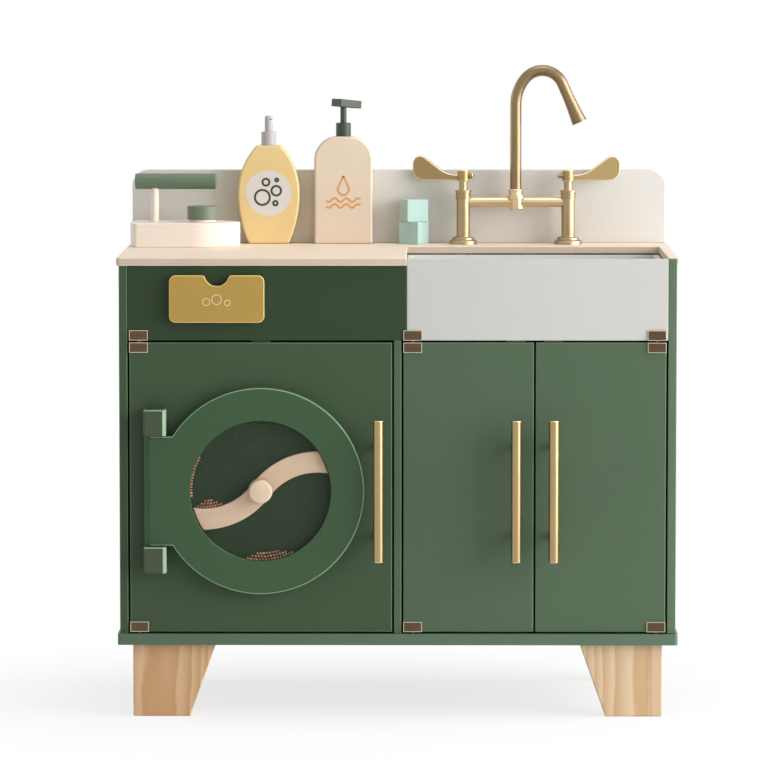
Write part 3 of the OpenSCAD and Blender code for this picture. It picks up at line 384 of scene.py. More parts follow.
# the piece takes the mesh, its finishes, its body and the nodes that it stands for
def settle(shape, name, replaced, *looks, body=None, slot=None, sharper=38.0):
    for edge in shape.edges:
        edge.smooth = edge.is_manifold and math.degrees(edge.calc_face_angle()) < sharper
    for face in shape.faces:
        face.smooth = True
    mesh = bpy.data.meshes.new(name)
    shape.to_mesh(mesh)
    shape.free()
    for look in looks:
        mesh.materials.append(finishes[look])
    piece = bpy.data.objects.new(name, mesh)
    bpy.context.scene.collection.objects.link(piece)
    weighted = piece.modifiers.new("flatFaces", "WEIGHTED_NORMAL")
    weighted.keep_sharp = True
    if replaced:
        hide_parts(*replaced)
    first = replaced[0] if replaced else None
    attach(piece, body or nodes[first]["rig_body"])
    slot or slotOf[first]
    return piece


doubleGap = 0.001*mm
flatAngle = math.radians(0.6)


def cadCopy(name):  # a node's own shape, its doubles merged and its flats made whole
    shape = bmesh.new()
    shape.from_mesh(nodes[name].data)
    bmesh.ops.remove_doubles(shape, verts=shape.verts, dist=doubleGap)
    bmesh.ops.dissolve_limit(shape, angle_limit=flatAngle, verts=shape.verts, edges=shape.edges)
    for face in shape.faces:
        face.material_index = 0
    return shape


def vertsOf(geometry):
    return [part for part in geometry if isinstance(part, bmesh.types.BMVert)]


def corners(shell):  # lowest and highest corner of a list of vertices
    return [Vector([pick(vert.co[i] for vert in shell) for i in range(3)]) for pick in (min, max)]


def stand(shape, foot, axis):  # lays a shape made along z along an axis, its foot at a point
    turn = Vector((0, 0, 1)).rotation_difference(axis).to_matrix().to_4x4()
    shape.transform(Matrix.Translation(foot) @ turn)


def ease(shape, width, segments=3, sharper=30.0, shortest=0.0, chosen=None):
    edges = [edge for edge in shape.edges
             if edge.is_manifold and edge.is_convex
             and math.degrees(edge.calc_face_angle()) > sharper
             and edge.calc_length() > shortest
             and (chosen is None or chosen(edge))]
    made = bmesh.ops.bevel(shape, geom=edges, offset=width, offset_type="OFFSET",
                           segments=segments, profile=0.5, affect="EDGES", material=-1,
                           clamp_overlap=False, loop_slide=False)
    return made["faces"]


# a turned piece: (radius, height) steps from its foot up, spun about z, then laid along its axis
def turned(steps, centre, axis="z", around=72):
    shape = bmesh.new()
    line = [shape.verts.new((radius, 0, height)) for radius, height in steps]
    edges = [shape.edges.new(pair) for pair in zip(line, line[1:])]
    bmesh.ops.spin(shape, geom=line + edges, cent=(0, 0, 0), axis=(0, 0, 1), angle=2*math.pi,
                   steps=around, use_merge=True)
    bmesh.ops.remove_doubles(shape, verts=shape.verts, dist=doubleGap)
    bmesh.ops.recalc_face_normals(shape, faces=shape.faces)
    quarter = math.pi/2
    turn = {"z": Matrix.Identity(4), "x": Matrix.Rotation(quarter, 4, "Y"),
            "-y": Matrix.Rotation(quarter, 4, "X"), "y": Matrix.Rotation(-quarter, 4, "X")}[axis]
    shape.transform(Matrix.Translation(centre) @ turn)
    return shape


def joined(*shapes):
    whole = shapes[0]
    for shape in shapes[1:]:
        spare = bpy.data.meshes.new("spare")
        shape.to_mesh(spare)
        shape.free()
        whole.from_mesh(spare)
        bpy.data.meshes.remove(spare)
    return whole


def islands(shape):  # the separate shells of a mesh, each as its list of vertices
    waiting = set(shape.verts)
    while waiting:
        seed = waiting.pop()
        shell, front = [seed], [seed]
        while front:
            for edge in front.pop().link_edges:
                for vert in edge.verts:
                    if vert in waiting:
                        waiting.remove(vert)
                        shell.append(vert)
                        front.append(vert)
        yield shell


def shellBoxes(name):  # lowest and highest corner of each separate solid in a node
    shape = cadCopy(name)
    for shell in islands(shape):
        yield corners(shell)
    shape.free()


# an upright board with a round hole, its outer rims eased; its loops of points run from the hole
# to the rim and back
def holedPlate(low, high, centre, radius, edge, around=90):
    turns = [(math.atan2(z - centre.z, x - centre.x), (x, z))
             for x in (low.x, high.x) for z in (low.z, high.z)]
    turns += [(math.tau*(k + 0.5)/around - math.pi, None) for k in range(around)]
    turns.sort(key=lambda entry: entry[0])

    def rim(inset, y):
        points = []
        for turn, corner in turns:
            if corner:
                x, z = corner
                x += inset if x < centre.x else -inset
                z += inset if z < centre.z else -inset
            else:
                across = (high.x - centre.x if math.cos(turn) > 0 else centre.x - low.x) - inset
                upward = (high.z - centre.z if math.sin(turn) > 0 else centre.z - low.z) - inset
                reach = min(across/abs(math.cos(turn)), upward/abs(math.sin(turn)))
                x, z = centre.x + reach*math.cos(turn), centre.z + reach*math.sin(turn)
            points.append((x, y, z))
        return points

    def hole(y):
        return [(centre.x + radius*math.cos(turn), y, centre.z + radius*math.sin(turn))
                for turn, corner in turns]

    shape = bmesh.new()
    roundShare = 0.29  # where an arc's middle lies, between its corner and its ends
    steps = [(edge, 0), (edge*roundShare, edge*roundShare), (0, edge)]
    loops = [hole(low.y)] + [rim(inset, low.y + down) for inset, down in steps]
    loops += [rim(inset, high.y - down) for inset, down in reversed(steps)] + [hole(high.y)]
    rows = [[shape.verts.new(point) for point in points] for points in loops]
    easedRows = (1, 2, 4, 5)
    for number, (a, b) in enumerate(zip(rows, rows[1:] + rows[:1])):
        for k in range(len(turns)):
            face = shape.faces.new((a[k - 1], a[k], b[k], b[k - 1]))
            face.material_index = 1 if number in easedRows else 0
    bmesh.ops.recalc_face_normals(shape, faces=shape.faces)
    return shape


# a pipe along a line in the x-z plane, one radius for each of its points
def pipe(line, radii, depth, around=40):
    shape = bmesh.new()
    back = Vector((0, 1, 0))
    turns = [2*math.pi*k/around for k in range(around)]
    rings = []
    for i, (point, radius) in enumerate(zip(line, radii)):
        along = (line[min(i + 1, len(line) - 1)] - line[max(i - 1, 0)]).normalized()
        side = Vector((along.z, 0, -along.x))
        spot = point + Vector((0, depth, 0))
        rings.append([shape.verts.new(spot + radius*(side*math.cos(turn) + back*math.sin(turn)))
                      for turn in turns])
    for low, high in zip(rings, rings[1:]):
        for k in range(around):
            shape.faces.new((low[k - 1], low[k], high[k], high[k - 1]))
    shape.faces.new(rings[0])
    shape.faces.new(rings[-1])
    bmesh.ops.recalc_face_normals(shape, faces=shape.faces)
    return shape


# a printed line of even width on a face that looks forward, through points (across, up)
def printedLine(points, centre, width):
    shape = bmesh.new()
    rows = []
    for i, point in enumerate(points):
        ahead = Vector(points[min(i + 1, len(points) - 1)])
        behind = Vector(points[max(i - 1, 0)])
        along = (ahead - behind).normalized()
        side = Vector((-along.y, along.x))*width/2
        rows.append([shape.verts.new((centre[0] + spot.x, centre[1], centre[2] + spot.y))
                     for spot in (Vector(point) + side, Vector(point) - side)])
    for a, b in zip(rows, rows[1:]):
        shape.faces.new((a[0], a[1], b[1], b[0]))
    bmesh.ops.recalc_face_normals(shape, faces=shape.faces)
    if shape.faces[:][0].normal.y > 0:
        bmesh.ops.reverse_faces(shape, faces=shape.faces)
    return shape


def printedRing(centre, inner, outer, around=48):
    radius = (inner + outer)/2
    turns = [math.tau*k/around for k in range(around + 1)]
    points = [(radius*math.cos(turn), radius*math.sin(turn)) for turn in turns]
    return printedLine(points, centre, outer - inner)


# printed circles as (across, up, radius) in mm from a spot, their line width in mm too
def bubbles(spot, rings, line):
    return [printedRing(spot + Vector((x*mm, 0, z*mm)), (size - line)*mm, size*mm)
            for x, z, size in rings]


def printedDisc(centre, radius, around=64):
    shape = bmesh.new()
    bmesh.ops.create_circle(shape, cap_ends=True, segments=around, radius=radius)
    shape.transform(Matrix.Translation(centre) @ Matrix.Rotation(math.pi/2, 4, "X"))
    return shape


def middle(name):
    low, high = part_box(name)
    return (low + high)/2


printRise = 0.08*mm


def printSpot(node, height):  # a print's centre, just before the front face of its node
    low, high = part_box(node)
    return Vector(((low.x + high.x)/2, low.y - printRise, height))


def printed(name, node, look, *shapes):
    settle(joined(*shapes), name, [], look, body=nodes[node]["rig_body"], slot=slotOf[node])


# an eased copy of one node; its eased edges may have a finish of their own
def dressed(name, width, look, edgeLook=None, segments=3, shortest=0.9*mm, chosen=None):
    shape = cadCopy(name)
    rims = ease(shape, width, segments, shortest=shortest, chosen=chosen)
    if edgeLook:
        for face in rims:
            face.material_index = 1
    return settle(shape, name + "Look", [name], *[kind for kind in (look, edgeLook) if kind])


def block(low, high, width, segments=3):  # an eased block between two corners
    shape = bmesh.new()
    bmesh.ops.create_cube(shape, size=1)
    bmesh.ops.scale(shape, vec=high - low, verts=shape.verts)
    bmesh.ops.translate(shape, vec=(low + high)/2, verts=shape.verts)
    ease(shape, width, segments)
    return shape


# a turned piece's outline from its foot to its top, the edge between side and top rounded
def roundTop(radius, height, edge, crown=0.0, steps=6):
    arc = [(radius - edge + edge*math.sin(turn), height - edge + edge*math.cos(turn))
           for turn in [math.pi/2*(1 - i/steps) for i in range(steps + 1)]]
    return [(0, 0), (radius, 0)] + arc + [(radius*0.4, height + crown*0.85), (0, height + crown)]


# the side panels and the partition take a lighter green on their eased edges: a painted highlight
boards = {
    "base_board": (2.2*mm, "baseGreen"), "left_side_panel": (0.9*mm, "doorGreen", "doorEdge"),
    "right_side_panel": (0.9*mm, "sideGreen", "doorEdge"),
    "centre_partition": (0.9*mm, "cupboardGreen", "doorEdge"),
    "back_panel": (0.6*mm, "doorGreen"), "backsplash": (1.2*mm, "splashBoard"),
    "washer_fascia": (0.8*mm, "fasciaGreen"), "sink_walls": (0.9*mm, "sinkBoard"),
    "sink_floor": (0.5*mm, "sinkBoard"), "drawer_tray": (0.7*mm, "creamBack"),
    "door_catches": (0.8*mm, "catch"),
}
for name, parts in boards.items():
    dressed(name, *parts)
apronLook = {"ease": 1.2*mm}
apron = block(*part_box("sink_apron"), apronLook["ease"])
settle(apron, "sinkApronLook", ["sink_apron"], "paleBoard")

worktopLook = {"ease": 1.3*mm, "shortest": 1.2*mm, "edgeSlope": 0.3}
shape = cadCopy("worktop")
ease(shape, worktopLook["ease"], shortest=worktopLook["shortest"])
for face in shape.faces:
    face.material_index = 1 if abs(face.normal.z) < worktopLook["edgeSlope"] else 0
settle(shape, "worktopLook", ["worktop"], "creamAlong", "plyEdge")
print("cabinet boards dressed")

# legs, the left pair of a livelier wood than the right pair, which has a glue line
legLook = {"ease": 1.5*mm, "ringGap": 5.5*mm, "heartIn": 60*mm, "heartAcross": 22*mm,
           "seamIn": 12*mm, "left": ("pine", 4.0), "right": ("palePine", 2.0)}
for name in ("front_left_leg", "front_right_leg", "back_left_leg", "back_right_leg"):
    hand = "left" if "left" in name else "right"
    side = -1 if hand == "left" else 1
    spot = middle(name)
    heart = (spot.x + side*legLook["heartAcross"], spot.y + legLook["heartIn"])
    tone, warp = legLook[hand]
    seam = None if hand == "left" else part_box(name)[1].x - legLook["seamIn"]
    finishes[name] = planedPine(name + "Pine", tones[tone], heart, legLook["ringGap"], warp, seam)
    dressed(name, legLook["ease"], name)

dowelLook = {"ease": 0.5*mm, "shortest": 0.2*mm, "heart": (-0.3, -0.1), "ringGap": 4*mm}
finishes["dowelPine"] = planedPine("dowelPine", tones["pine"], dowelLook["heart"],
                                   dowelLook["ringGap"])
for name, look in (("drawer_runners", "dowelPine"), ("paddle_shaft", "dowelPine"),
                   ("porthole_hinge_pins", "ringGreen")):
    dressed(name, dowelLook["ease"], look, segments=2, shortest=dowelLook["shortest"])
print("legs and dowels dressed")

plateLook = {"ease": 1.1*mm, "hole": 80*mm, "back": 0.3*mm, "flat": 0.99}
low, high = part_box("washer_door_panel")
high.y -= plateLook["back"]
holed = holedPlate(low, high, middle("paddle_knob"), plateLook["hole"], plateLook["ease"])
# the washer door's eased rims take the lighter green too: a painted highlight
settle(holed, "washerDoorLook", ["washer_door_panel"], "doorGreen", "doorEdge")
# the cupboard doors take the lighter copy of the door's green: painted light
for name in ("left_door_panel", "right_door_panel"):
    low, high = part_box(name)
    high.y -= plateLook["back"]
    plate = block(low, high, plateLook["ease"])
    plate.normal_update()
    # the lighter green on the eased rims is a painted highlight
    for face in plate.faces:  # the eased rims are lighter than the flats
        flat = max(abs(part) for part in face.normal) > plateLook["flat"]
        face.material_index = 0 if flat else 1
    settle(plate, name + "Look", [name], "cupboardGreen", "doorEdge")

ringLook = {"ease": 1.1*mm, "shortest": 1.2*mm, "outer": 100*mm}
shape = cadCopy("porthole_ring")
hub = middle("paddle_knob")
# the eased faces outside the outer radius take a lighter green: a painted highlight round the
# ring's rim
for face in ease(shape, ringLook["ease"], shortest=ringLook["shortest"]):
    spot = face.calc_center_median()
    outside = math.hypot(spot.x - hub.x, spot.z - hub.z) > ringLook["outer"]
    face.material_index = 1 if outside else 0
settle(shape, "portholeRingLook", ["porthole_ring"], "ringGreen", "ringRim")

# hinge blocks, each broadly rounded along its right front corner
blockLook = {"ease": 2.2*mm, "round": 4.6*mm, "steps": 6, "reach": 0.1*mm}
parts = []
for low, high in shellBoxes("porthole_hinge_blocks"):
    shape = bmesh.new()
    bend = blockLook["round"]
    outline = [(low.x, high.y), (low.x, low.y)]
    for step in range(blockLook["steps"] + 1):
        turn = math.pi/2*step/blockLook["steps"]
        outline.append((high.x - bend + bend*math.sin(turn), low.y + bend - bend*math.cos(turn)))
    outline.append((high.x, high.y))
    foot = shape.faces.new([shape.verts.new((x, y, low.z)) for x, y in outline])
    raised = bmesh.ops.extrude_face_region(shape, geom=[foot])["geom"]
    for vert in vertsOf(raised):
        vert.co.z = high.z
    bmesh.ops.recalc_face_normals(shape, faces=shape.faces)
    ease(shape, blockLook["ease"], 4, sharper=40, shortest=0.2*mm,
         chosen=lambda edge: max(vert.co.z for vert in edge.verts) > high.z - blockLook["reach"]
         or max(vert.co.x for vert in edge.verts) < low.x + blockLook["reach"])
    # the lighter green on the rounded right corner and the top rims is a painted highlight
    for face in shape.faces:  # the rounded corner and the eased top rims are lighter
        rounded = face.normal.x > 0.25 and face.normal.y < 0.2
        face.material_index = 1 if rounded or 0.2 < face.normal.z < 0.98 else 0
    parts.append(shape)
settle(joined(*parts), "hingeBlocksLook", ["porthole_hinge_blocks"], "blockGreen", "ringEdge")
dressed("chamber_ring", 0.4*mm, "creamUp")
# the chamber's back disc is a darker copy of the green: painted shade inside the chamber
dressed("chamber_back", 0.4*mm, "discGreen")
dressed("window_pane", 0.3*mm, "window")
dressed("wash_paddle", 0.8*mm, "paddleWood")

# T-bar handle: a bar with softly domed ends on two posts with small feet
handleLook = {"ease": 0.9*mm, "foot": 0.9*mm, "footLength": 1.6*mm, "footEase": 0.3*mm,
              "postRadius": 3.25*mm, "pitch": 96*mm}
for name in ("washer_handle", "left_door_handle", "right_door_handle"):
    low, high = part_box(name)
    radius, length = (high.x - low.x)/2, high.z - low.z
    axis = Vector((middle(name).x, low.y + radius, low.z))
    bar = turned([(0, 0), (radius, 0), (radius, length), (0, length)], axis)
    # the bar's eased ends take a paler gold: a painted highlight
    for face in ease(bar, handleLook["ease"], 4):
        face.material_index = 1
    parts = [bar]
    reach = high.y - axis.y
    knee = reach - handleLook["footLength"]
    narrow = handleLook["postRadius"]
    wide = narrow + handleLook["foot"]
    for end in (-1, 1):
        start = Vector((axis.x, axis.y, middle(name).z + end*handleLook["pitch"]/2))
        post = turned([(0, 0), (narrow, 0), (narrow, knee), (wide, knee), (wide, reach),
                       (0, reach)], start, "y", 40)
        ease(post, handleLook["footEase"], 2)
        parts.append(post)
    settle(joined(*parts), name + "Look", [name], "handleGold", "tapGoldEdge")

# hinge clips and brackets: pressed plate, its rims brighter than its flats
# the bright rims are a painted highlight, and the dark brown of the flats is a painted dark
# reflection
clipLook = {"ease": 0.3*mm, "shortest": 0.9*mm, "rim": 0.6*mm, "smallestFront": 40*mm*mm}
for name in ("hinge_brackets", "washer_hinge_clips", "left_door_hinge_clips",
             "right_door_hinge_clips"):
    shape = cadCopy(name)
    rims = ease(shape, clipLook["ease"], 2, shortest=clipLook["shortest"])
    fronts = [face for face in shape.faces
              if face.normal.y < -0.95 and face.calc_area() > clipLook["smallestFront"]]
    rims += bmesh.ops.inset_individual(shape, faces=fronts, thickness=clipLook["rim"])["faces"]
    for face in rims:
        face.material_index = 1
    settle(shape, name + "Look", [name], "nickel", "nickelEdge")
print("doors, handles and hinges dressed")

# a flat screw head with a cross slot, drawn for one radius: a square grid is rounded to a disc
# and the cross sunk into it
screwLook = {"drawnRadius": 3.5*mm, "slot": 0.9*mm, "arm": 2.1*mm, "sink": 1.1*mm, "square": 0.72,
             "slotTaper": 0.8, "headShare": 0.57, "tipShare": 0.45, "tipLength": 0.9,
             "shankShare": 0.5, "crossReach": 0.55}


def screwHead(centre, axis, radius, height):
    def sized(part):
        return screwLook[part]*radius/screwLook["drawnRadius"]

    shape = bmesh.new()
    bmesh.ops.create_grid(shape, x_segments=5, y_segments=5, size=0.5)
    marks = [-radius*screwLook["square"], -sized("arm"), -screwLook["slot"]/2,
             screwLook["slot"]/2, sized("arm"), radius*screwLook["square"]]
    for vert in shape.verts:
        column = round((vert.co.x + 0.5)*5)
        row = round((vert.co.y + 0.5)*5)
        vert.co.x, vert.co.y = marks[column], marks[row]
        if column in (0, 5) or row in (0, 5):
            vert.co = vert.co.normalized()*radius
    cross = []
    for face in shape.faces:
        spot = face.calc_center_median()
        near, far = sorted((abs(spot.x), abs(spot.y)))
        if near < 0.01*mm and far < radius*screwLook["crossReach"]:
            cross.append(face)
    rim = [edge for edge in shape.edges if edge.is_boundary]
    for vert in vertsOf(bmesh.ops.extrude_edge_only(shape, edges=rim)["geom"]):
        vert.co.z -= height
    sunk = bmesh.ops.extrude_face_region(shape, geom=cross)["geom"]
    bmesh.ops.delete(shape, geom=cross, context="FACES")
    for vert in vertsOf(sunk):
        vert.co.x *= screwLook["slotTaper"]
        vert.co.y *= screwLook["slotTaper"]
        vert.co.z -= sized("sink")
    bmesh.ops.holes_fill(shape, edges=[edge for edge in shape.edges if edge.is_boundary])
    bmesh.ops.recalc_face_normals(shape, faces=shape.faces)
    stand(shape, centre, axis)
    return shape


# each screw in a node: which way it lies, and at which end its wide head is
def screwsOf(name):
    shape = cadCopy(name)
    for shell in islands(shape):
        low, high = corners(shell)
        size = high - low
        lie = max(range(3), key=lambda i: size[i])
        across = (lie + 1) % 3
        radius = size[across]/2
        centre = (low + high)/2
        topWidth = max(abs(v.co[across] - centre[across]) for v in shell
                       if high[lie] - v.co[lie] < 0.1*mm)
        up = 1 if topWidth > radius*0.9 else -1
        yield centre, lie, up, radius, size[lie]
    shape.free()


for name in ("cabinet_screws", "washer_door_screws", "left_door_screws", "right_door_screws",
             "chamber_screws"):
    parts = []
    for centre, lie, up, radius, length in screwsOf(name):
        axis = Vector([up if i == lie else 0 for i in range(3)])
        headHeight = radius*screwLook["headShare"]
        shank = turned([(0, 0), (radius*screwLook["tipShare"], radius*screwLook["tipLength"]),
                        (radius*screwLook["shankShare"], length - headHeight)], (0, 0, 0), "z", 16)
        stand(shank, centre - axis*length/2, axis)
        parts += [shank, screwHead(centre + axis*length/2, axis, radius, headHeight)]
    settle(joined(*parts), name + "Look", [name], "steel", sharper=30)
print("screws made")

knobLook = {"ease": 2.4*mm, "crown": 0.6*mm}
low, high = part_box("paddle_knob")
radius, length = (high.x - low.x)/2, high.y - low.y
spot = middle("paddle_knob")
outline = roundTop(radius, length - knobLook["crown"], knobLook["ease"], knobLook["crown"])
knob = turned(outline, (spot.x, high.y, spot.z), "-y")
settle(knob, "paddleKnobLook", ["paddle_knob"], "knobWood", sharper=60)

beadLook = {"smallest": 0.74, "largest": 0.97, "play": 0.55}
beads = bmesh.new()
for low, high in shellBoxes("wash_beads"):
    full = (high.x - low.x)/2
    radius = full*random.uniform(beadLook["smallest"], beadLook["largest"])
    play = (full - radius)*beadLook["play"]  # each bead stays inside its own place
    nudge = Vector([random.uniform(-play, play) for side in range(3)])
    bmesh.ops.create_icosphere(beads, subdivisions=2, radius=radius,
                               matrix=Matrix.Translation((low + high)/2 + nudge))
settle(beads, "washBeadsLook", ["wash_beads"], "beads", sharper=80)
print("washer window dressed")

drawerLook = {"ease": 0.9*mm, "shortest": 0.2*mm, "printDown": 2*mm, "line": 0.9,
              "bubbles": ((-11, -1, 4.2), (0, 1.5, 5.6), (11.5, -2, 3.4))}
shape = cadCopy("drawer_front")
# the eased edges take a lighter mustard: a painted highlight
for face in ease(shape, drawerLook["ease"], shortest=drawerLook["shortest"]):
    face.material_index = 1
settle(shape, "drawerFrontLook", ["drawer_front"], "mustard", "mustardEdge")
low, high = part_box("drawer_front")
spot = printSpot("drawer_front", (low.z + high.z)/2 - drawerLook["printDown"])
printed("drawerPrintLook", "drawer_front", "printCream",
        *bubbles(spot, drawerLook["bubbles"], drawerLook["line"]))

# outlines in mm: (radius, height) from the foot up; the bend's (radius, first and last degree);
# the arm's (distance along it, radius)
tapLook = {
    "column": [(0, 0), (15.5, 0), (15.5, 3.4), (14.4, 4.6), (12.3, 4.9), (12.3, 7.2), (11.4, 8),
               (7.8, 8.4), (7.5, 9.4), (7.5, 50.6), (8.7, 51), (8.7, 52.2), (8.0, 52.6),
               (8.0, 54.8), (8.9, 55.2), (8.9, 56.2), (8.1, 56.6), (8.1, 58.2), (9.2, 58.6),
               (9.2, 60), (5.0, 60.2), (4.5, 61), (4.5, 70), (3.4, 70), (3.4, 79), (0, 79)],
    "nut": [(0, 0), (7.6, 0), (8.4, 1.2), (8.4, 12.5), (0, 12.5)],
    "socket": [(6.4, 12), (9.9, 12.5), (9.9, 15.2), (7.8, 15.8), (7.6, 20.4), (8.2, 20.8),
               (8.2, 22.4), (7.8, 23), (6.3, 23), (6.3, 12)],
    "bend": [(45, 0, 40), (24.6, 40, 156)],
    "arm": [(16, 6.3), (28, 6.9), (38, 7.7), (44.2, 8.3), (44.6, 8.0), (45.2, 8.0), (45.5, 8.7),
            (46.8, 8.7), (47, 8.3), (47, 6.4), (43.5, 6.2)],
    "pipe": 6.25, "bendDown": 37.7, "bendStep": 4, "lead": 2*mm, "stud": 3.4*mm,
    "cross": 5.5*mm, "crossUp": 47*mm,
}


def tapPart(part, centre, around=72):
    outline = [(radius*mm, height*mm) for radius, height in tapLook[part]]
    return turned(outline, centre, "z", around)


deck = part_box("worktop")[1].z
columns = []
for low, high in shellBoxes("faucet_columns"):
    foot = Vector(((low.x + high.x)/2, (low.y + high.y)/2, deck))
    stud, down = tapLook["stud"], low.z - foot.z
    columns += [tapPart("column", foot),
                turned([(0, down), (stud, down), (stud, 0)], foot, "z", 32)]
settle(joined(*columns), "faucetColumnsLook", ["faucet_columns"], "tapGold", sharper=50)

low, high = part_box("faucet_bridge")
axis = Vector(((low.x + high.x)/2, (low.y + high.y)/2, low.z))
cross = deck + tapLook["crossUp"]
arms = [turned([(0, 0), (tapLook["cross"], 0), (tapLook["cross"], reach), (0, reach)],
               (start, axis.y, cross), "x", 40)
        for start, reach in ((low.x, axis.x - low.x), (axis.x, high.x - axis.x))]
nut = tapPart("nut", axis, 8)
halfFlat = Matrix.Rotation(math.pi/8, 4, "Z")
nut.transform(Matrix.Translation(axis) @ halfFlat @ Matrix.Translation(-axis))
bridge = joined(*arms, nut, tapPart("socket", axis))
settle(bridge, "faucetBridgeLook", ["faucet_bridge"], "bridgeGold", sharper=30)

low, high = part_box("faucet_spout")
spot = Vector((axis.x, 0, high.z - (tapLook["pipe"] + tapLook["bendDown"])*mm))
line = [Vector((axis.x, 0, low.z)), Vector((axis.x, 0, low.z + tapLook["lead"])), spot]
step = tapLook["bendStep"]
for bend, first, last in tapLook["bend"]:
    turn = math.radians(first)
    centre = spot + bend*mm*Vector((math.cos(turn), 0, -math.sin(turn)))
    for degrees in range(first + step, last + 1, step):
        turn = math.radians(degrees)
        spot = centre + bend*mm*Vector((-math.cos(turn), 0, math.sin(turn)))
        line.append(spot)
radii = [tapLook["pipe"]*mm]*len(line)
fall = math.radians(tapLook["bend"][-1][2])
for along, radius in tapLook["arm"]:
    line.append(spot + along*mm*Vector((math.sin(fall), 0, math.cos(fall))))
    radii.append(radius*mm)
spout = pipe(line, radii, axis.y)
settle(spout, "faucetSpoutLook", ["faucet_spout"], "pipeGold", sharper=50)
dressed("faucet_nuts", 0.5*mm, "steel")
# the levers' eased edges take a paler gold: a painted highlight
for name in ("left_lever", "right_lever"):
    dressed(name, 1.0*mm, "leverGold", "tapGoldEdge", shortest=0.35*mm)
print("tap made")


def rise(edge):
    return abs(edge.verts[0].co.z - edge.verts[1].co.z)


# the iron's base, its heel corners rounded before its rims are eased
ironLook = {"corner": 4*mm, "rim": 1.3*mm, "shortest": 0.4*mm, "upright": 10*mm, "level": 1*mm}
shape = cadCopy("iron_base")
ease(shape, ironLook["corner"], 6,
     chosen=lambda edge: rise(edge) > ironLook["upright"]
     and max(vert.co.x for vert in edge.verts) < middle("iron_base").x)
ease(shape, ironLook["rim"], shortest=ironLook["shortest"],
     chosen=lambda edge: rise(edge) < ironLook["level"])
settle(shape, "ironBaseLook", ["iron_base"], "ironCream")
dressed("iron_post", 0.8*mm, "ironCream", shortest=0.3*mm)
dressed("iron_handle", 1.2*mm, "ironGreen", segments=4, shortest=0.6*mm)

# the dial's plain stem shows under its painted cap
dialLook = {"ease": 0.8*mm, "shortest": 0.4*mm, "stemShare": 0.97}
low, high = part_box("iron_dial")
shape = cadCopy("iron_dial")
ease(shape, dialLook["ease"], shortest=dialLook["shortest"])
stem = (high.x - low.x)/2*dialLook["stemShare"]
axis = middle("iron_dial")
for face in shape.faces:
    spot = face.calc_center_median()
    inStem = math.hypot(spot.x - axis.x, spot.y - axis.y) < stem and spot.z < axis.z
    face.material_index = 1 if inStem else 0
settle(shape, "ironDialLook", ["iron_dial"], "dialGreen", "ironCream")

dressed("bleach_bottle_body", 2.6*mm, "yellow", segments=5, shortest=1.2*mm)

# the nozzle: a broadly rounded tip over a collar with finer rims
nozzleLook = {"tipEase": 2.4*mm, "tipReach": 0.1*mm, "collarEase": 0.6*mm, "collarDown": 6*mm}
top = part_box("bleach_bottle_nozzle")[1].z
shape = cadCopy("bleach_bottle_nozzle")
ease(shape, nozzleLook["tipEase"], 5, shortest=0.2*mm,
     chosen=lambda edge: min(v.co.z for v in edge.verts) > top - nozzleLook["tipReach"])
ease(shape, nozzleLook["collarEase"], 2, shortest=0.3*mm,
     chosen=lambda edge: max(v.co.z for v in edge.verts) < top - nozzleLook["collarDown"])
settle(shape, "bleachNozzleLook", ["bleach_bottle_nozzle"], "grey")
dressed("detergent_bottle_body", 2.6*mm, "beige", segments=5, shortest=1.2*mm)
dressed("detergent_pump", 0.8*mm, "pumpGreen", shortest=0.3*mm)

# bubbles on the oval bottle's pale disc
ovalPrint = {"up": 57*mm, "disc": 25.5*mm, "line": 2.4,
             "bubbles": ((-7, -5, 9.5), (8.5, 2.5, 6.5), (-3, 12, 5), (7.5, -11.5, 3.6),
                         (9, 14.5, 2.8))}
spot = printSpot("bleach_bottle_body", deck + ovalPrint["up"])
printed("ovalDiscPrint", "bleach_bottle_body", "printPale", printedDisc(spot, ovalPrint["disc"]))
ahead = Vector((0, -printRise, 0))
printed("ovalBubblesPrint", "bleach_bottle_body", "printDark",
        *bubbles(spot + ahead, ovalPrint["bubbles"], ovalPrint["line"]))

# a drop over two waves on the square bottle, the waves' sizes in mm
squarePrint = {"up": 61*mm, "line": 2.2*mm, "drop": 6.2*mm, "dropTip": 15*mm, "dropFirst": 148,
               "dropStep": 4.1, "dropPoints": 60, "swing": 2.2, "waveLength": 13,
               "waveHalf": 19, "waves": (-12, -18.5)}
spot = printSpot("detergent_bottle_body", deck + squarePrint["up"])
turns = [math.radians(squarePrint["dropFirst"] + squarePrint["dropStep"]*k)
         for k in range(squarePrint["dropPoints"])]
tip = (0, squarePrint["dropTip"])
drop = [(squarePrint["drop"]*math.cos(turn), squarePrint["drop"]*math.sin(turn)) for turn in turns]
lines = [[tip] + drop + [tip]]
swing, waveLength, half = [squarePrint[key] for key in ("swing", "waveLength", "waveHalf")]
for up in squarePrint["waves"]:
    lines.append([(x*mm, (up + swing*math.sin(x*math.tau/waveLength))*mm)
                  for x in range(-half, half + 1)])
printed("squarePrint", "detergent_bottle_body", "printOrange",
        *[printedLine(line, spot, squarePrint["line"]) for line in lines])
for name in ("soap_cube_lower", "soap_cube_upper"):
    dressed(name, 0.9*mm, "mint")
print("things on the worktop dressed")

# each lamp: its power, its place and the two sides of its face
lamps = {
    "keyLamp": (15.0, (2.0, -2.1, 1.0), 1.2, 1.2),
    "rightLamp": (104.0, (2.4, -0.55, 0.9), 2.4, 2.2),
    "leftLamp": (12.0, (-2.6, 0.7, 0.8), 0.6, 2.2),
    "topLamp": (16.0, (0.2, -0.2, 2.6), 1.6, 1.6),
}
room = {"sky": 0.33, "floor": 30, "paper": (0.93, 0.93, 0.93, 1), "oval": (1, 1.3, 1),
        "shadowReach": (0.2, 0.7), "glowLevels": (0.75, 1.0)}


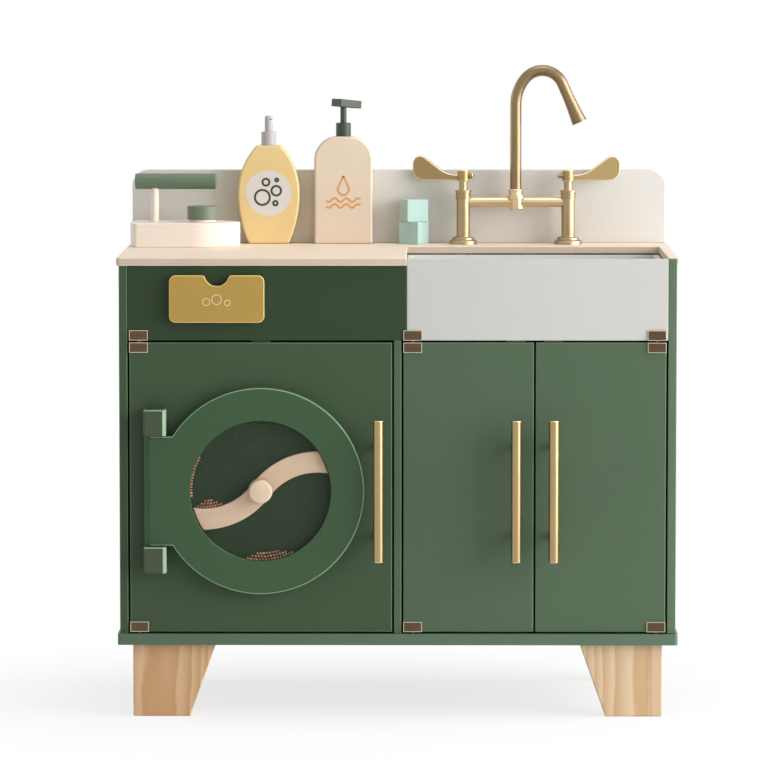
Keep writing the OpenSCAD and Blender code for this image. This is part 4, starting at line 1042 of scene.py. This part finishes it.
def lamp(name, power, at, wide, tall, aim=(0, 0, 0.35)):
    data = bpy.data.lights.new(name, "AREA")
    data.shape = "RECTANGLE"
    data.energy = power
    data.size = wide
    data.size_y = tall
    made = bpy.data.objects.new(name, data)
    made.location = at
    made.rotation_euler = (Vector(aim) - Vector(at)).to_track_quat("-Z", "Y").to_euler()
    bpy.context.scene.collection.objects.link(made)


for name, parts in lamps.items():
    lamp(name, *parts)

white = (1, 1, 1, 1)
sky = Finish("studioSky", bpy.data.worlds.new("studioSky"))
bpy.context.scene.world = sky.material
dim = sky.node("ShaderNodeBackground", {}, {"Color": white, "Strength": room["sky"]})
bright = sky.node("ShaderNodeBackground", {}, {"Color": white, "Strength": 1.0})
either = sky.node("ShaderNodeMixShader", {}, {0: sky.plainRays(), 1: dim, 2: bright})
sky.node("ShaderNodeOutputWorld", {}, {"Surface": either})

floorShape = bmesh.new()
bmesh.ops.create_grid(floorShape, x_segments=1, y_segments=1, size=room["floor"])
floorMesh = bpy.data.meshes.new("floor")
floorShape.to_mesh(floorMesh)
floorShape.free()
floor = bpy.data.objects.new("floor", floorMesh)
bpy.context.scene.collection.objects.link(floor)

# the floor: paper that keeps the shadow near the object and turns to plain white away from it
paper = Finish("floorPaper")
away = paper.node("ShaderNodeVectorMath", {"operation": "LENGTH"}, {0: paper.stretch(room["oval"])},
                  out="Value")
fade = paper.ramp(away, *room["shadowReach"], *room["glowLevels"])
matte = paper.node("ShaderNodeBsdfDiffuse", {}, {"Color": room["paper"]})
glow = paper.node("ShaderNodeEmission", {}, {"Color": white, "Strength": 1.0})
mixed = paper.node("ShaderNodeMixShader", {}, {0: paper.plainRays()*fade, 1: matte, 2: glow})
paper.node("ShaderNodeOutputMaterial", {}, {"Surface": mixed})
floorMesh.materials.append(paper.material)

view = {"at": (0.0241, -5.3725, 0.8092), "down": 4.911, "left": 0.4236, "lens": 231.0,
        "sensor": 36}
cameraData = bpy.data.cameras.new("camera")
cameraData.lens = view["lens"]
cameraData.sensor_fit = "HORIZONTAL"
cameraData.sensor_width = view["sensor"]
camera = bpy.data.objects.new("camera", cameraData)
camera.location = view["at"]
camera.rotation_euler = (math.radians(90 - view["down"]), 0, math.radians(view["left"]))
bpy.context.scene.collection.objects.link(camera)
bpy.context.scene.camera = camera
bpy.context.scene.view_settings.view_transform = "Standard"
print("studio ready")
